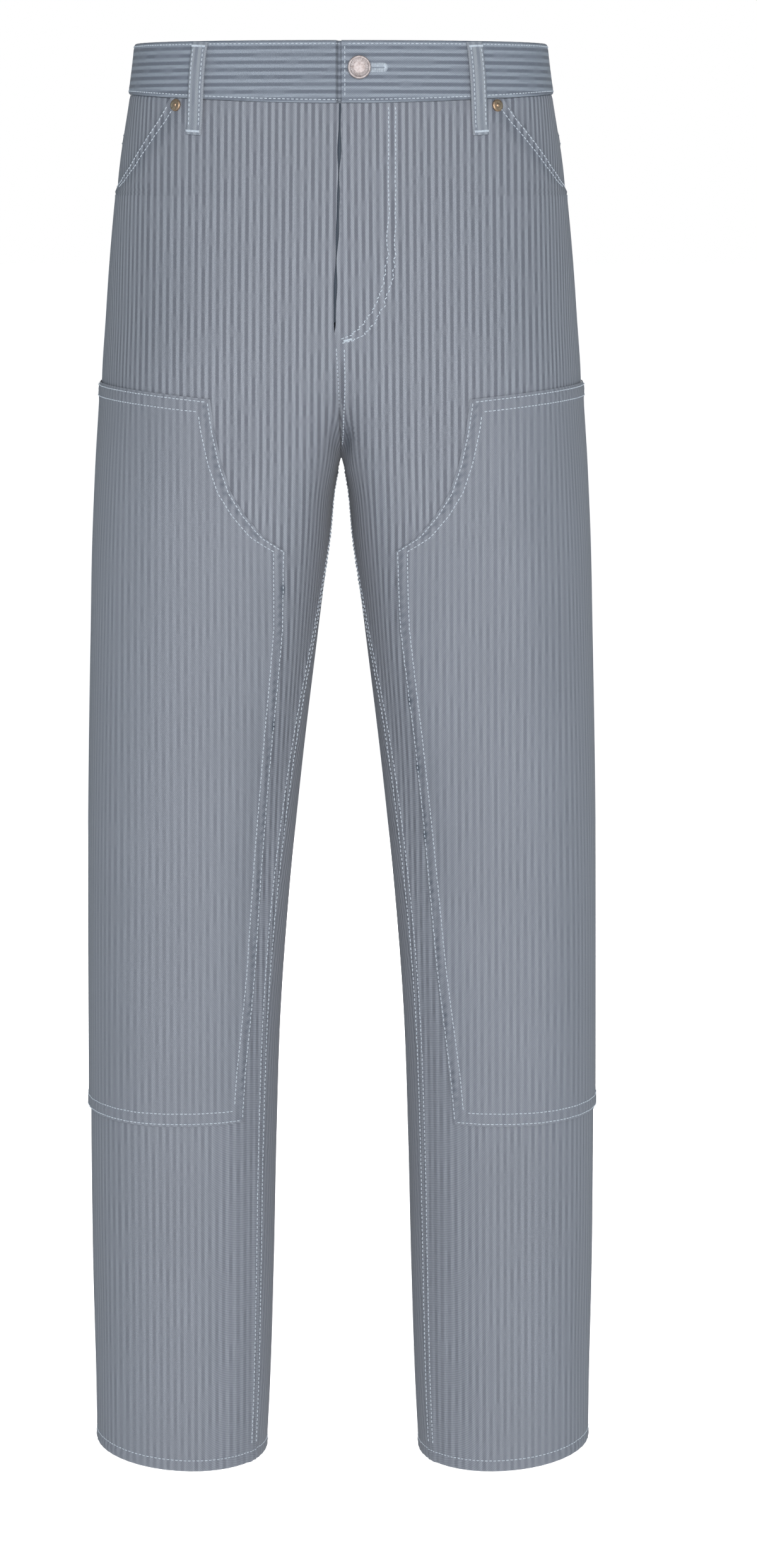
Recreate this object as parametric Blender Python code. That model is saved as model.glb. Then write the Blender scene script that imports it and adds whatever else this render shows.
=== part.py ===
"""Striped double-knee work jeans in the form they take when worn, built piece by piece as they are sewn.

Metres, +Z up. The front faces -Y and +X is the wearer's left. The origin is the middle of the
waist opening, level with the top of the waistband, where the wearer holds the jeans up.

Every cloth piece is a wall on one surface. A point of it is given by the half of the jeans
(+1 the wearer's left, -1 the right), its distance down from the top of the waistband, and an
angle round that half: 270 degrees is the front, 0 or 360 the side, 90 the back, and 180 the
inside of the leg.
"""

import math
from typing import NamedTuple

import bmesh
import bpy
import numpy as np
from mathutils import Vector

CLOTH = 0.0015  # wall of one layer of twill
SEAM_GAP = 0.0003  # between neighbouring pieces
LAYER_GAP = 0.0004  # under a piece that lies on another

BAND_HEIGHT = 0.037  # waistband at the side seam
BAND_SAG = 0.0080  # how much lower its seam runs at the centre front
BAND_FADE = 0.120  # where the panels have taken up that sag
BAND_PROUD = 0.0008  # the band's face in front of the panels' faces
BAND_WALL = 0.0034  # its two layers and the seam allowances between them
BAND_UNDERLAP = 0.038  # how far the end with the button runs on behind the other
BAND_STEP_START = 619.0  # turn at which it starts to pass behind
BAND_STEP_END = 627.0
BAND_COLUMNS = 50

CROTCH = 0.307
YOKE_AT_SIDE = 0.075
YOKE_AT_CENTRE = 0.108
HEM = 1.077
HEM_TILT = 0.0045  # the hem's outer side is this much higher than its middle
HEM_DIP = 0.0035  # how much lower it hangs at the front
HEM_FADE = 0.90
HEM_DEPTH = 0.010
HEM_WALL = 2.2  # turned-up hem, in layers

SIDE_SEAM = 364.0  # angle of the side seam, just behind the side
FLY_END = 0.213
FLY_LIFT = 0.0012  # how far the fly's edge stands off what it laps over
FLY_WIDTH = 0.020
SHIELD_WIDTH = 0.036
SHIELD_UNDER = 0.012
SHIELD_WALL = 0.0012

LOOP_WIDTH = 0.0125
LOOP_WALL = 0.0018
BUTTON_DOWN = 0.0162
BUTTON_X = 0.0139
BUTTON_RADIUS = 0.0086
SHANK_RADIUS = 0.0030
SHANK_HOLE = 0.0037
RIVET_RADIUS = 0.0045
RIVET_HEIGHT = 0.0016
RIVET_DOWN = 0.0425
RIVET_ANGLE = 314.0
MOUTH_TURN = 3.0  # degrees by which the right pocket's mouth and rivet sit further out at the top
ROUND_STEPS = 20


class Section(NamedTuple):
    """One level of the jeans, at the base layer of cloth."""

    down: float  # from the top of the waistband
    side: float  # half the width
    inner: float  # inner edge of one leg's ring, below 0 where the two rings run into each other
    front: float  # reach towards -Y
    back: float  # reach towards +Y


SECTIONS = (
    Section(0.000, 0.1530, -0.1530, 0.1070, 0.1045),
    Section(0.037, 0.1580, -0.1580, 0.1100, 0.1110),
    Section(0.087, 0.1664, -0.1664, 0.1150, 0.1235),
    Section(0.127, 0.1712, -0.1480, 0.1180, 0.1335),
    Section(0.167, 0.1750, -0.1070, 0.1205, 0.1415),
    Section(0.207, 0.1780, -0.0630, 0.1215, 0.1455),
    Section(0.237, 0.1803, -0.0340, 0.1205, 0.1445),
    Section(0.267, 0.1816, -0.0143, 0.1180, 0.1395),
    Section(0.287, 0.1829, -0.0057, 0.1160, 0.1345),
    Section(0.307, 0.1842, 0.0000, 0.1135, 0.1285),
    Section(0.325, 0.1851, 0.0045, 0.1115, 0.1225),
    Section(0.368, 0.1870, 0.0089, 0.1065, 0.1095),
    Section(0.440, 0.1889, 0.0178, 0.0995, 0.0985),
    Section(0.537, 0.1912, 0.0296, 0.0920, 0.0880),
    Section(0.635, 0.1927, 0.0397, 0.0855, 0.0820),
    Section(0.733, 0.1934, 0.0471, 0.0810, 0.0815),
    Section(0.832, 0.1938, 0.0507, 0.0770, 0.0820),
    Section(0.932, 0.1936, 0.0532, 0.0715, 0.0820),
    Section(1.033, 0.1920, 0.0568, 0.0670, 0.0805),
    Section(1.080, 0.1916, 0.0594, 0.0655, 0.0795),
)

# How square the rings are, as the power of a superellipse: (down, outer half, inner half)
SQUARENESS = (
    (0.000, 2.25, 4.0),
    (0.200, 2.20, 4.0),
    (0.307, 2.15, 4.0),
    (0.370, 2.12, 3.0),
    (0.460, 2.10, 2.4),
    (0.620, 2.10, 2.2),
    (1.080, 2.10, 2.1),
)

# (down, angle) of the inseam, which turns forward below the crotch
INSEAM = ((0.307, 180.0), (0.360, 190.0), (0.450, 201.0), (0.600, 209.0), (0.800, 211.0), (1.080, 210.0))

# (down, x) of the fly's edge and, below it, of the centre-front seam
CENTRE_FRONT = ((0.037, 0.0), (0.120, -0.0015), (0.213, -0.0038), (0.260, -0.0015), (0.307, 0.0))

# (down, angle) along the slanted mouth of the front pocket
POCKET_MOUTH = (
    (0.0370, 316.0),
    (0.0550, 321.5),
    (0.0740, 329.0),
    (0.0900, 336.0),
    (0.1010, 343.0),
    (0.1055, 349.0),
    (0.1090, 356.0),
    (0.1115, SIDE_SEAM),
)
MOUTH_LEVEL = 0.0900  # where the right mouth's extra angle has faded
FACING_END = 0.122
FACING_UNDER = 9.0  # degrees that the facing runs on behind the mouth
FACING_FLAT = 5.0  # degrees past the mouth before it starts to rise to the side seam
FACING_SHUT = 348.0  # past this angle the mouth is too narrow for it to rise


class Fold(NamedTuple):
    """A soft trough (depth below 0) or ridge, as a bump on the surface."""

    half: int
    angle: float
    down: float
    spread: float  # half-width in degrees
    reach: float  # half-length along the leg
    slant: float  # degrees of turn for each metre down
    depth: float


FOLDS = (
    Fold(+1, 247.0, 0.335, 16.0, 0.055, -260.0, -0.0035),
    Fold(-1, 249.0, 0.345, 15.0, 0.060, -240.0, -0.0030),
    Fold(+1, 292.0, 0.430, 14.0, 0.110, 30.0, 0.0022),
    Fold(-1, 286.0, 0.470, 15.0, 0.120, -25.0, 0.0020),
    Fold(+1, 225.0, 0.560, 12.0, 0.090, 40.0, -0.0022),
    Fold(-1, 226.0, 0.600, 12.0, 0.100, 30.0, -0.0020),
    Fold(+1, 300.0, 0.700, 20.0, 0.100, 0.0, 0.0018),
    Fold(-1, 296.0, 0.760, 20.0, 0.090, 0.0, 0.0018),
    Fold(+1, 118.0, 0.318, 34.0, 0.026, 0.0, -0.0060),
    Fold(-1, 112.0, 0.326, 36.0, 0.028, 0.0, -0.0055),
    Fold(+1, 84.0, 0.610, 40.0, 0.030, 0.0, -0.0050),
    Fold(-1, 92.0, 0.625, 42.0, 0.032, 0.0, -0.0045),
    Fold(+1, 100.0, 0.690, 36.0, 0.028, 0.0, -0.0035),
    Fold(-1, 80.0, 0.700, 38.0, 0.030, 0.0, -0.0038),
)

LEG_DOWNS = (
    CROTCH, 0.3150, 0.3300, 0.3530, 0.3850, 0.4250, 0.4650, 0.5050, 0.5450, 0.5850, 0.6250,
    0.6650, 0.7100, 0.7600, 0.8130, 0.8700, 0.9300, 1.0000, HEM - HEM_DEPTH, HEM,
)
FRONT_DOWNS = (
    0.0370, 0.0550, 0.0740, 0.0900, 0.1010, 0.1055, 0.1090, 0.1115, 0.1300, 0.1560, 0.1850,
    0.2130, 0.2370, 0.2600, 0.2800, 0.2930, 0.3020, *LEG_DOWNS,
)
BACK_DOWNS = (
    0.0900, 0.1150, 0.1400, 0.1650, 0.1900, 0.2150, 0.2400, 0.2620, 0.2800, 0.2930, 0.3020,
    *LEG_DOWNS,
)
YOKE_FADE = 0.190  # where the back panel's rows have levelled out below the yoke
CROWDING = 0.10  # spacing of the columns that crowd against the crotch, as a share of the even one
FRONT_COLUMNS = 14
BACK_COLUMNS = 12
YOKE_ROWS = 4
FACING_COLUMNS = 6

# Outlines seen from the front or back, as (x, down) on the wearer's left
PATCH_TOP = 0.246
PATCH_BOTTOM = 0.809
PATCH_OUTLINE = (
    (0.230, 0.2465),
    (0.170, 0.2515),
    (0.0945, 0.2585),
    (0.0915, 0.2820),
    (0.0865, 0.3065),
    (0.0795, 0.3280),
    (0.0692, 0.3450),
    (0.0560, 0.3610),
    (0.0400, 0.3720),
    (0.0432, 0.4300),
    (0.0520, 0.5100),
    (0.0602, 0.6000),
    (0.0684, 0.6900),
    (0.0775, 0.7700),
    (0.0805, 0.8085),
    (0.150, 0.8080),
    (0.230, 0.8060),
)
PATCH_CURVE_END = 0.3720
PATCH_LEAN = {+1: 0.0045, -1: -0.0055}  # how much further out the inner edge ends at the bottom
BACK_POCKET_TOP = 0.118
BACK_POCKET_BOTTOM = 0.285
BACK_POCKET_OUTLINE = (
    (0.034, 0.1270),
    (0.147, 0.1180),
    (0.142, 0.2480),
    (0.092, 0.2760),
    (0.041, 0.2540),
)
CUT_NEAR = 0.02
CUT_FAR = 0.25

# (down, distance off the base cloth) along a belt loop's inner face
LOOP_PATH = (
    (0.0008, 0.0014),
    (0.0070, 0.0026),
    (0.0160, 0.0034),
    (0.0270, 0.0034),
    (0.0370, 0.0026),
    (0.0460, 0.0016),
    (0.0550, 0.0006),
    (0.0645, 0.0005),
)
# (name, half, angle)
BELT_LOOPS = (
    ("belt_loop_front_left", +1, 307.5),
    ("belt_loop_front_right", -1, 309.3),
    ("belt_loop_back_left", +1, 48.0),
    ("belt_loop_back_right", -1, 48.0),
    ("belt_loop_centre_back", +1, 90.0),
)

STRIPED_TWILL = ((0.265, 0.285, 0.330), 0.85, 0.0)
LOOP_TWILL = ((0.300, 0.330, 0.380), 0.85, 0.0)
INNER_TWILL = ((0.190, 0.210, 0.260), 0.90, 0.0)
BUTTON_METAL = ((0.480, 0.450, 0.460), 0.35, 1.0)
COPPER = ((0.450, 0.290, 0.190), 0.40, 1.0)


def smooth(knots, values, at):
    """Value at `at` of the smooth curve through the values at the rising knots."""
    knots = np.asarray(knots, float)
    values = np.asarray(values, float)
    slopes = np.gradient(values, knots)
    at = np.clip(at, knots[0], knots[-1])
    low = np.clip(np.searchsorted(knots, at) - 1, 0, len(knots) - 2)
    width = knots[low + 1] - knots[low]
    t = (at - knots[low]) / width
    rise = values[low + 1] - values[low]
    cubic = slopes[low] + slopes[low + 1] - 2 * rise / width
    square = 3 * rise / width - 2 * slopes[low] - slopes[low + 1]
    return values[low] + width * t * (slopes[low] + t * (square + t * cubic))


def along(table, at, column=1):
    """Smooth value of a table's column at a distance down."""
    rows = np.array(table, float)
    return smooth(rows[:, 0], rows[:, column], at)


def ring_at(down):
    """Centre and half-sizes (x, y, half-width, half-depth) of one half's ring."""
    side, inner, front, back = (along(SECTIONS, down, column) for column in (1, 2, 3, 4))
    return (side + inner) / 2, (back - front) / 2, (side - inner) / 2, (front + back) / 2


def base_point(half, down, angle):
    """Point of the plain surface, without folds."""
    x_mid, y_mid, half_width, half_depth = ring_at(down)
    cos, sin = np.cos(np.radians(angle)), np.sin(np.radians(angle))
    power = np.where(cos < 0, along(SQUARENESS, down, 2), along(SQUARENESS, down, 1))
    reach = (np.abs(cos) ** power + np.abs(sin) ** power) ** (-1 / power)
    sag = BAND_SAG * np.where(sin < 0, sin * sin, 0.0)
    sag = sag * np.interp(down, (0.0, BAND_HEIGHT, BAND_FADE), (0.0, 1.0, 0.0))
    tilt = HEM_TILT * cos - HEM_DIP * np.where(sin < 0, sin * sin, 0.0)
    tilt = tilt * np.interp(down, (HEM_FADE, HEM), (0.0, 1.0))
    x = half * (x_mid + half_width * reach * cos + SEAM_GAP / 2)
    y = y_mid + half_depth * reach * sin
    return np.stack(np.broadcast_arrays(x, y, tilt - sag - down), axis=-1)


def outward(half, down, angle):
    """Unit vector that points out of the garment."""
    step_down, step_angle = 0.0005, 0.2
    across = base_point(half, down, angle + step_angle) - base_point(half, down, angle - step_angle)
    lower = np.clip(down + step_down, 0.0, HEM)
    upper = np.clip(down - step_down, 0.0, HEM)
    downward = base_point(half, lower, angle) - base_point(half, upper, angle)
    normal = half * np.cross(downward, across)
    return normal / np.linalg.norm(normal, axis=-1, keepdims=True)


def relief(half, down, angle):
    """Height of the folds at a point."""
    height = np.zeros(np.broadcast(down, angle).shape)
    for fold in FOLDS:
        if fold.half != half:
            continue
        turn = angle - fold.angle - fold.slant * (down - fold.down)
        turn = (turn + 180.0) % 360.0 - 180.0
        bump = np.exp(-((turn / fold.spread) ** 2) - ((down - fold.down) / fold.reach) ** 2)
        height = height + fold.depth * bump
    return height


def cloth_point(half, down, angle, off=0.0):
    """Point of the garment, `off` outside its base layer's face."""
    down, angle = np.asarray(down, float), np.asarray(angle, float)
    height = relief(half, down, angle) + off
    return base_point(half, down, angle) + outward(half, down, angle) * height[..., None]


def angle_at(down, x, back=False):
    """Angle at which the ring of the wearer's left half passes x, on the front or the back."""
    x_mid, _, half_width, _ = ring_at(down)
    across = np.clip((x - x_mid) / half_width, -1.0, 1.0)
    power = np.where(across < 0, along(SQUARENESS, down, 2), along(SQUARENESS, down, 1))
    deep = (1 - np.abs(across) ** power) ** (1 / power)
    turn = np.degrees(np.arctan2(deep, across))
    return turn if back else 360.0 - turn


def centre_front(half, down):
    """Angle of a front panel's inner edge: the fly or centre-front seam, then the inseam."""
    seam = angle_at(np.minimum(down, CROTCH), half * along(CENTRE_FRONT, down))
    return np.where(down < CROTCH, seam, along(INSEAM, down))


def centre_back(down):
    """Angle of a back panel's inner edge: the centre-back seam, then the inseam."""
    return np.where(down < CROTCH, angle_at(np.minimum(down, CROTCH), 0.0, back=True), along(INSEAM, down))


def mouth_turn(half, down):
    """Extra angle of the pocket's mouth on the wearer's right."""
    return MOUTH_TURN * np.interp(down, (BAND_HEIGHT, MOUTH_LEVEL), (1.0, 0.0)) * (half < 0)


def pocket_mouth(half, down):
    """Angle of a front panel's outer edge: the pocket's mouth, then the side seam."""
    rows = np.array(POCKET_MOUTH)
    return np.interp(down, rows[:, 0], rows[:, 1]) + mouth_turn(half, down)


def between_seams(half, down, inner, side, columns):
    """Grid of angles from the centre or inseam edge to the side, half a seam gap inside both.

    Near the crotch the inner edge turns fast, so the columns only crowd against it there.
    """
    front = np.all(inner > 180.0 - 1e-6)
    middle = (inner + side) / 2
    span = cloth_point(half, down, middle + 1) - cloth_point(half, down, middle - 1)
    margin = (SEAM_GAP / np.linalg.norm(span, axis=-1)) * (1 if front else -1)
    first, last = (inner + margin)[:, None], (side - margin)[:, None]
    ramp = np.interp(down, (FLY_END, CROTCH), (270.0 if front else 90.0, 180.0))
    nearer, crowd = (np.minimum, np.maximum) if front else (np.maximum, np.minimum)
    even = np.where(down < CROTCH, nearer(inner + margin, ramp), inner + margin)[:, None]
    share = np.linspace(0.0, 1.0, columns + 1)
    crowded = first + (last - first) * share * CROWDING
    return crowd(even * (1 - share) + last * share, crowded)


def material(name, finish):
    colour, roughness, metallic = finish
    made = bpy.data.materials.new(name)
    made.use_nodes = True
    shader = made.node_tree.nodes["Principled BSDF"]
    shader.inputs["Base Color"].default_value = (*colour, 1.0)
    shader.inputs["Roughness"].default_value = roughness
    shader.inputs["Metallic"].default_value = metallic
    return made


def new_object(name, mesh, finish):
    made = bpy.data.objects.new(name, mesh)
    mesh.materials.append(material(name, finish))
    bpy.context.scene.collection.objects.link(made)
    return made


def wall(name, faces_out, faces_in, finish, holes=()):
    """Closed wall between two grids of points, without the cells listed as holes."""
    build = bmesh.new()
    rows, columns = faces_out.shape[:2]
    layers = [
        [[build.verts.new(point) for point in row] for row in grid] for grid in (faces_out, faces_in)
    ]
    rim = {}
    for row in range(rows - 1):
        for column in range(columns - 1):
            if (row, column) in holes:
                continue
            cell = [(row, column), (row, column + 1), (row + 1, column + 1), (row + 1, column)]
            for layer in layers:
                corners = [layer[r][c] for r, c in cell]
                build.faces.new(corners[:3])
                build.faces.new((corners[0], corners[2], corners[3]))
            for start, end in zip(cell, cell[1:] + cell[:1]):
                if rim.pop((end, start), None) is None:
                    rim[start, end] = True
    for (r0, c0), (r1, c1) in rim:
        build.faces.new([layers[0][r0][c0], layers[0][r1][c1], layers[1][r1][c1], layers[1][r0][c0]])
    loose = [vert for vert in build.verts if not vert.link_faces]
    bmesh.ops.delete(build, geom=loose, context="VERTS")
    bmesh.ops.recalc_face_normals(build, faces=build.faces)
    mesh = bpy.data.meshes.new(name)
    build.to_mesh(mesh)
    build.free()
    mesh.shade_smooth()
    mesh.set_sharp_from_angle(angle=math.radians(40))
    return new_object(name, mesh, finish)


def layered(name, half, downs, angles, finish, off=0.0, thickness=CLOTH):
    """Wall on the garment whose face lies `off` outside the base layer's."""
    downs = np.broadcast_to(downs, angles.shape)
    face = cloth_point(half, downs, angles, off)
    lining = cloth_point(half, downs, angles, off - thickness)
    return wall(name, face, lining, finish)


def front_grid(half):
    """Distances down and angles of a front panel's points."""
    downs = np.array(FRONT_DOWNS)
    angles = between_seams(half, downs, centre_front(half, downs), pocket_mouth(half, downs), FRONT_COLUMNS)
    return np.broadcast_to(downs[:, None], angles.shape), angles


def yoke_seam(angles):
    """Distance down of the yoke's seam, which dips to the centre back."""
    share = np.clip((angles - SIDE_SEAM + 360.0) / (90.0 - SIDE_SEAM + 360.0), 0.0, 1.0)
    return YOKE_AT_SIDE + (YOKE_AT_CENTRE - YOKE_AT_SIDE) * share


def back_grid(half):
    """Distances down and angles of a back panel's points, its first row on the yoke's seam."""
    downs = np.array(BACK_DOWNS)
    fade = np.interp(downs, (BACK_DOWNS[0], YOKE_FADE), (1.0, 0.0))
    at_centre = downs + fade * (YOKE_AT_CENTRE + SEAM_GAP - BACK_DOWNS[0])
    side = np.full(len(downs), SIDE_SEAM - 360.0)
    angles = between_seams(half, at_centre, centre_back(at_centre), side, BACK_COLUMNS)
    shift = yoke_seam(angles) + SEAM_GAP - BACK_DOWNS[0]
    return downs[:, None] + fade[:, None] * shift, angles


def hem_thickness(downs):
    """The cloth's wall, thicker where the hem is turned up inside."""
    return np.where(downs > HEM - HEM_DEPTH - 1e-6, CLOTH * HEM_WALL, CLOTH)


def front_panel(name, half):
    downs, angles = front_grid(half)
    downs = np.maximum(downs, BAND_HEIGHT + SEAM_GAP)
    lift = np.zeros(angles.shape)
    if half > 0:
        edge = np.abs(base_point(half, downs, angles)[..., 0] - along(CENTRE_FRONT, downs))
        lift = FLY_LIFT * np.clip(1 - edge / FLY_WIDTH, 0.0, 1.0)
        lift *= np.interp(downs, (FLY_END, FLY_END + 0.03), (1.0, 0.0))
    face = cloth_point(half, downs, angles, lift)
    lining = cloth_point(half, downs, angles, lift - hem_thickness(downs))
    return wall(name, face, lining, STRIPED_TWILL)


def back_panel(name, half):
    downs, angles = back_grid(half)
    face = cloth_point(half, downs, angles)
    lining = cloth_point(half, downs, angles, -hem_thickness(downs))
    return wall(name, face, lining, STRIPED_TWILL)


def yoke(name, half):
    share = np.linspace(0.0, 1.0, YOKE_ROWS + 1)
    top = np.full(YOKE_ROWS + 1, BAND_HEIGHT + SEAM_GAP)
    side = np.full(YOKE_ROWS + 1, SIDE_SEAM - 360.0)
    middle_downs = top + (YOKE_AT_CENTRE - top) * share
    angles = between_seams(half, middle_downs, centre_back(middle_downs), side, BACK_COLUMNS)
    downs = top[:, None] + (yoke_seam(angles) - top[:, None]) * share[:, None]
    return layered(name, half, downs, angles, STRIPED_TWILL)


def pocket_facing(name, half):
    """The pocket's inner side, which shows in the mouth and comes flush at the side seam."""
    downs = np.array([down for down, _ in POCKET_MOUTH] + [FACING_END])
    downs[0] += SEAM_GAP
    mouth = pocket_mouth(half, downs)
    start = np.minimum(mouth, FACING_SHUT) - FACING_UNDER
    angles = between_seams(half, downs, start, np.full(len(downs), SIDE_SEAM), FACING_COLUMNS)
    open_width = np.where(mouth < FACING_SHUT, SIDE_SEAM - mouth - FACING_FLAT, 1e6)
    flush = np.clip((angles - mouth[:, None] - FACING_FLAT) / open_width[:, None], 0.0, 1.0)
    depth = (CLOTH + 3 * LAYER_GAP) * (1 - flush)
    grid = np.broadcast_to(downs[:, None], angles.shape)
    face = cloth_point(half, grid, angles, -depth)
    lining = cloth_point(half, grid, angles, -depth - CLOTH)
    return wall(name, face, lining, STRIPED_TWILL)


def fly_shield(name):
    """The strip behind the fly, on the wearer's right edge and under the left."""
    downs = np.linspace(BAND_HEIGHT + SEAM_GAP, FLY_END - 0.01, 7)
    edge = along(CENTRE_FRONT, downs)
    start = angle_at(downs, edge - SHIELD_UNDER)
    end = angle_at(downs, edge + SHIELD_WIDTH)
    share = np.linspace(0.0, 1.0, 5)
    angles = start[:, None] * (1 - share) + end[:, None] * share
    behind = -CLOTH - 3 * LAYER_GAP
    return layered(name, +1, downs[:, None], angles, INNER_TWILL, off=behind, thickness=SHIELD_WALL)


def prism(name, half, outline, y_from, y_to):
    """Cutter whose section is an outline seen from the front."""
    build = bmesh.new()
    ends = [
        [build.verts.new((half * x, y, -down)) for x, down in outline] for y in (y_from, y_to)
    ]
    for end in ends:
        build.faces.new(end)
    for index in range(len(outline)):
        build.faces.new([ends[0][index - 1], ends[0][index], ends[1][index], ends[1][index - 1]])
    bmesh.ops.recalc_face_normals(build, faces=build.faces)
    mesh = bpy.data.meshes.new(name)
    build.to_mesh(mesh)
    build.free()
    made = bpy.data.objects.new(name, mesh)
    made.hide_render = True
    made.display_type = "WIRE"
    bpy.context.scene.collection.objects.link(made)
    return made


def applied(name, half, grid, rows, outline, y_span):
    """Piece cut to an outline from a panel's own points moved out."""
    downs, angles = (values[rows] for values in grid)
    sheet = layered(name, half, downs, angles, STRIPED_TWILL, off=LAYER_GAP + CLOTH)
    cut = sheet.modifiers.new("outline", "BOOLEAN")
    cut.operation = "INTERSECT"
    cut.object = prism(name + "_outline", half, outline, *y_span)
    return sheet


def rows_between(downs, top, bottom):
    """Slice of the rows that hold a piece, with one row to spare at both ends."""
    first = np.searchsorted(downs, top) - 1
    last = np.searchsorted(downs, bottom) + 1
    return slice(int(first), int(last))


def knee_patch(name, half):
    rows = rows_between(FRONT_DOWNS, PATCH_TOP, PATCH_BOTTOM)
    downs = np.array(PATCH_OUTLINE)[:, 1]
    lean = PATCH_LEAN[half] * np.interp(downs, (PATCH_CURVE_END, PATCH_BOTTOM), (0.0, 1.0))
    outline = [(x + shift, down) for (x, down), shift in zip(PATCH_OUTLINE, lean)]
    return applied(name, half, front_grid(half), rows, outline, (-CUT_FAR, CUT_NEAR))


def back_pocket(name, half):
    rows = rows_between(BACK_DOWNS, BACK_POCKET_TOP, BACK_POCKET_BOTTOM)
    return applied(name, half, back_grid(half), rows, BACK_POCKET_OUTLINE, (CUT_NEAR, CUT_FAR))


def band_point(down, turn, off):
    """Point of the waistband's whole ring. Turn 270 and 630 are the centre front."""
    turn = np.asarray(turn, float)
    across = np.cos(np.radians(turn)) < 0
    left = cloth_point(+1, down, turn, off)
    right = cloth_point(-1, down, 180.0 - turn, off)
    return np.where(across[..., None], right, left)


def waistband(name):
    """One strip from the end with the buttonhole, round the back, to the end that lies behind it."""
    hole, hole_end = (float(angle_at(BUTTON_DOWN, BUTTON_X + side * SHANK_HOLE)) for side in (-1, 1))
    under_end = float(angle_at(BUTTON_DOWN, BAND_UNDERLAP)) + 360.0
    around = np.linspace(hole_end, BAND_STEP_START, BAND_COLUMNS)
    tail = np.linspace(BAND_STEP_END, under_end, 4)
    turns = np.concatenate([[270.0, hole], around, tail])
    levels = np.array([0.0, BUTTON_DOWN - SHANK_HOLE, BUTTON_DOWN + SHANK_HOLE, BAND_HEIGHT])
    behind = np.interp(turns, (BAND_STEP_START, BAND_STEP_END), (0.0, BAND_WALL + 2 * LAYER_GAP))
    downs = np.broadcast_to(levels[:, None], (len(levels), len(turns)))
    turns = np.broadcast_to(turns, downs.shape)
    face = band_point(downs, turns, BAND_PROUD - behind)
    lining = band_point(downs, turns, BAND_PROUD - behind - BAND_WALL)
    return wall(name, face, lining, STRIPED_TWILL, holes={(1, 1)})


def belt_loop(name, half, angle):
    """Folded strip that stands off the waistband and is tacked below it."""
    path = np.array(LOOP_PATH)
    downs = path[:, 0]
    centre = cloth_point(half, downs, np.full(len(path), angle))
    normal = outward(half, downs, np.full(len(path), angle))
    along_loop = np.gradient(centre, axis=0)
    across = np.cross(along_loop, normal)
    across /= np.linalg.norm(across, axis=-1, keepdims=True)
    inner_face = centre + normal * path[:, 1, None]
    edges = [inner_face + across * (LOOP_WIDTH * side) for side in (-0.5, 0.0, 0.5)]
    lining = np.stack(edges, axis=1)
    face = lining + normal[:, None, :] * LOOP_WALL
    return wall(name, face, lining, LOOP_TWILL)


def turned(name, profile, place, axis, finish):
    """Round piece from its (radius, height) profile, standing at a place along an axis."""
    build = bmesh.new()
    points = [build.verts.new((radius, 0.0, height)) for radius, height in profile]
    for start, end in zip(points, points[1:]):
        build.edges.new((start, end))
    mesh = bpy.data.meshes.new(name)
    build.to_mesh(mesh)
    build.free()
    made = new_object(name, mesh, finish)
    screw = made.modifiers.new("turn", "SCREW")
    screw.steps = screw.render_steps = ROUND_STEPS
    screw.use_merge_vertices = True
    screw.merge_threshold = 0.00001
    made.location = place
    made.rotation_euler = Vector(axis).to_track_quat("Z", "Y").to_euler()
    return made


def button(name):
    """Tack button: its cap in front of the buttonhole and its shank through it."""
    turn = float(angle_at(BUTTON_DOWN, BUTTON_X))
    cap_back = BAND_PROUD + LAYER_GAP
    place = cloth_point(+1, BUTTON_DOWN, turn, cap_back)
    shank = BAND_WALL + 2 * LAYER_GAP
    profile = (
        (0.0, 0.0030),
        (BUTTON_RADIUS * 0.45, 0.0030),
        (BUTTON_RADIUS * 0.78, 0.0034),
        (BUTTON_RADIUS * 0.94, 0.0030),
        (BUTTON_RADIUS, 0.0020),
        (BUTTON_RADIUS * 0.94, 0.0006),
        (BUTTON_RADIUS * 0.70, 0.0),
        (SHANK_RADIUS, 0.0),
        (SHANK_RADIUS, -shank),
        (0.0, -shank),
    )
    return turned(name, profile, place, outward(+1, BUTTON_DOWN, turn), BUTTON_METAL)


def rivet(name, half):
    """Domed rivet at the top of the pocket's mouth."""
    angle = RIVET_ANGLE + mouth_turn(half, RIVET_DOWN)
    place = cloth_point(half, RIVET_DOWN, angle, LAYER_GAP)
    profile = (
        (0.0, RIVET_HEIGHT),
        (RIVET_RADIUS * 0.45, RIVET_HEIGHT),
        (RIVET_RADIUS * 0.80, RIVET_HEIGHT * 0.75),
        (RIVET_RADIUS, RIVET_HEIGHT * 0.25),
        (RIVET_RADIUS, 0.0),
        (0.0, 0.0),
    )
    return turned(name, profile, place, outward(half, RIVET_DOWN, angle), COPPER)


def main():
    for old in list(bpy.data.objects):
        bpy.data.objects.remove(old, do_unlink=True)
    waistband("waistband")
    for side, half in (("left", +1), ("right", -1)):
        front_panel("front_" + side, half)
        back_panel("back_" + side, half)
        yoke("yoke_" + side, half)
        pocket_facing("pocket_facing_" + side, half)
        knee_patch("knee_patch_" + side, half)
        back_pocket("back_pocket_" + side, half)
        rivet("rivet_" + side, half)
    fly_shield("fly_shield")
    for name, half, angle in BELT_LOOPS:
        belt_loop(name, half, angle)
    button("button")


main()
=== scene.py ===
"""Looks of striped double-knee work jeans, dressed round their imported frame.

Metres, +Z up. The front faces -Y and +X is the wearer's left. A place on the cloth is given by
the half of the jeans (+1 the wearer's left, -1 the right), its distance down from the top of the
waistband, and an angle round that half: 270 degrees is the front, 0 or 360 the side, 90 the back
and 180 the inside of the leg. Every cloth piece is a thin shell on that one surface.
"""

import logging
import math
from dataclasses import dataclass, field
from enum import Enum
from typing import NamedTuple

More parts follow.
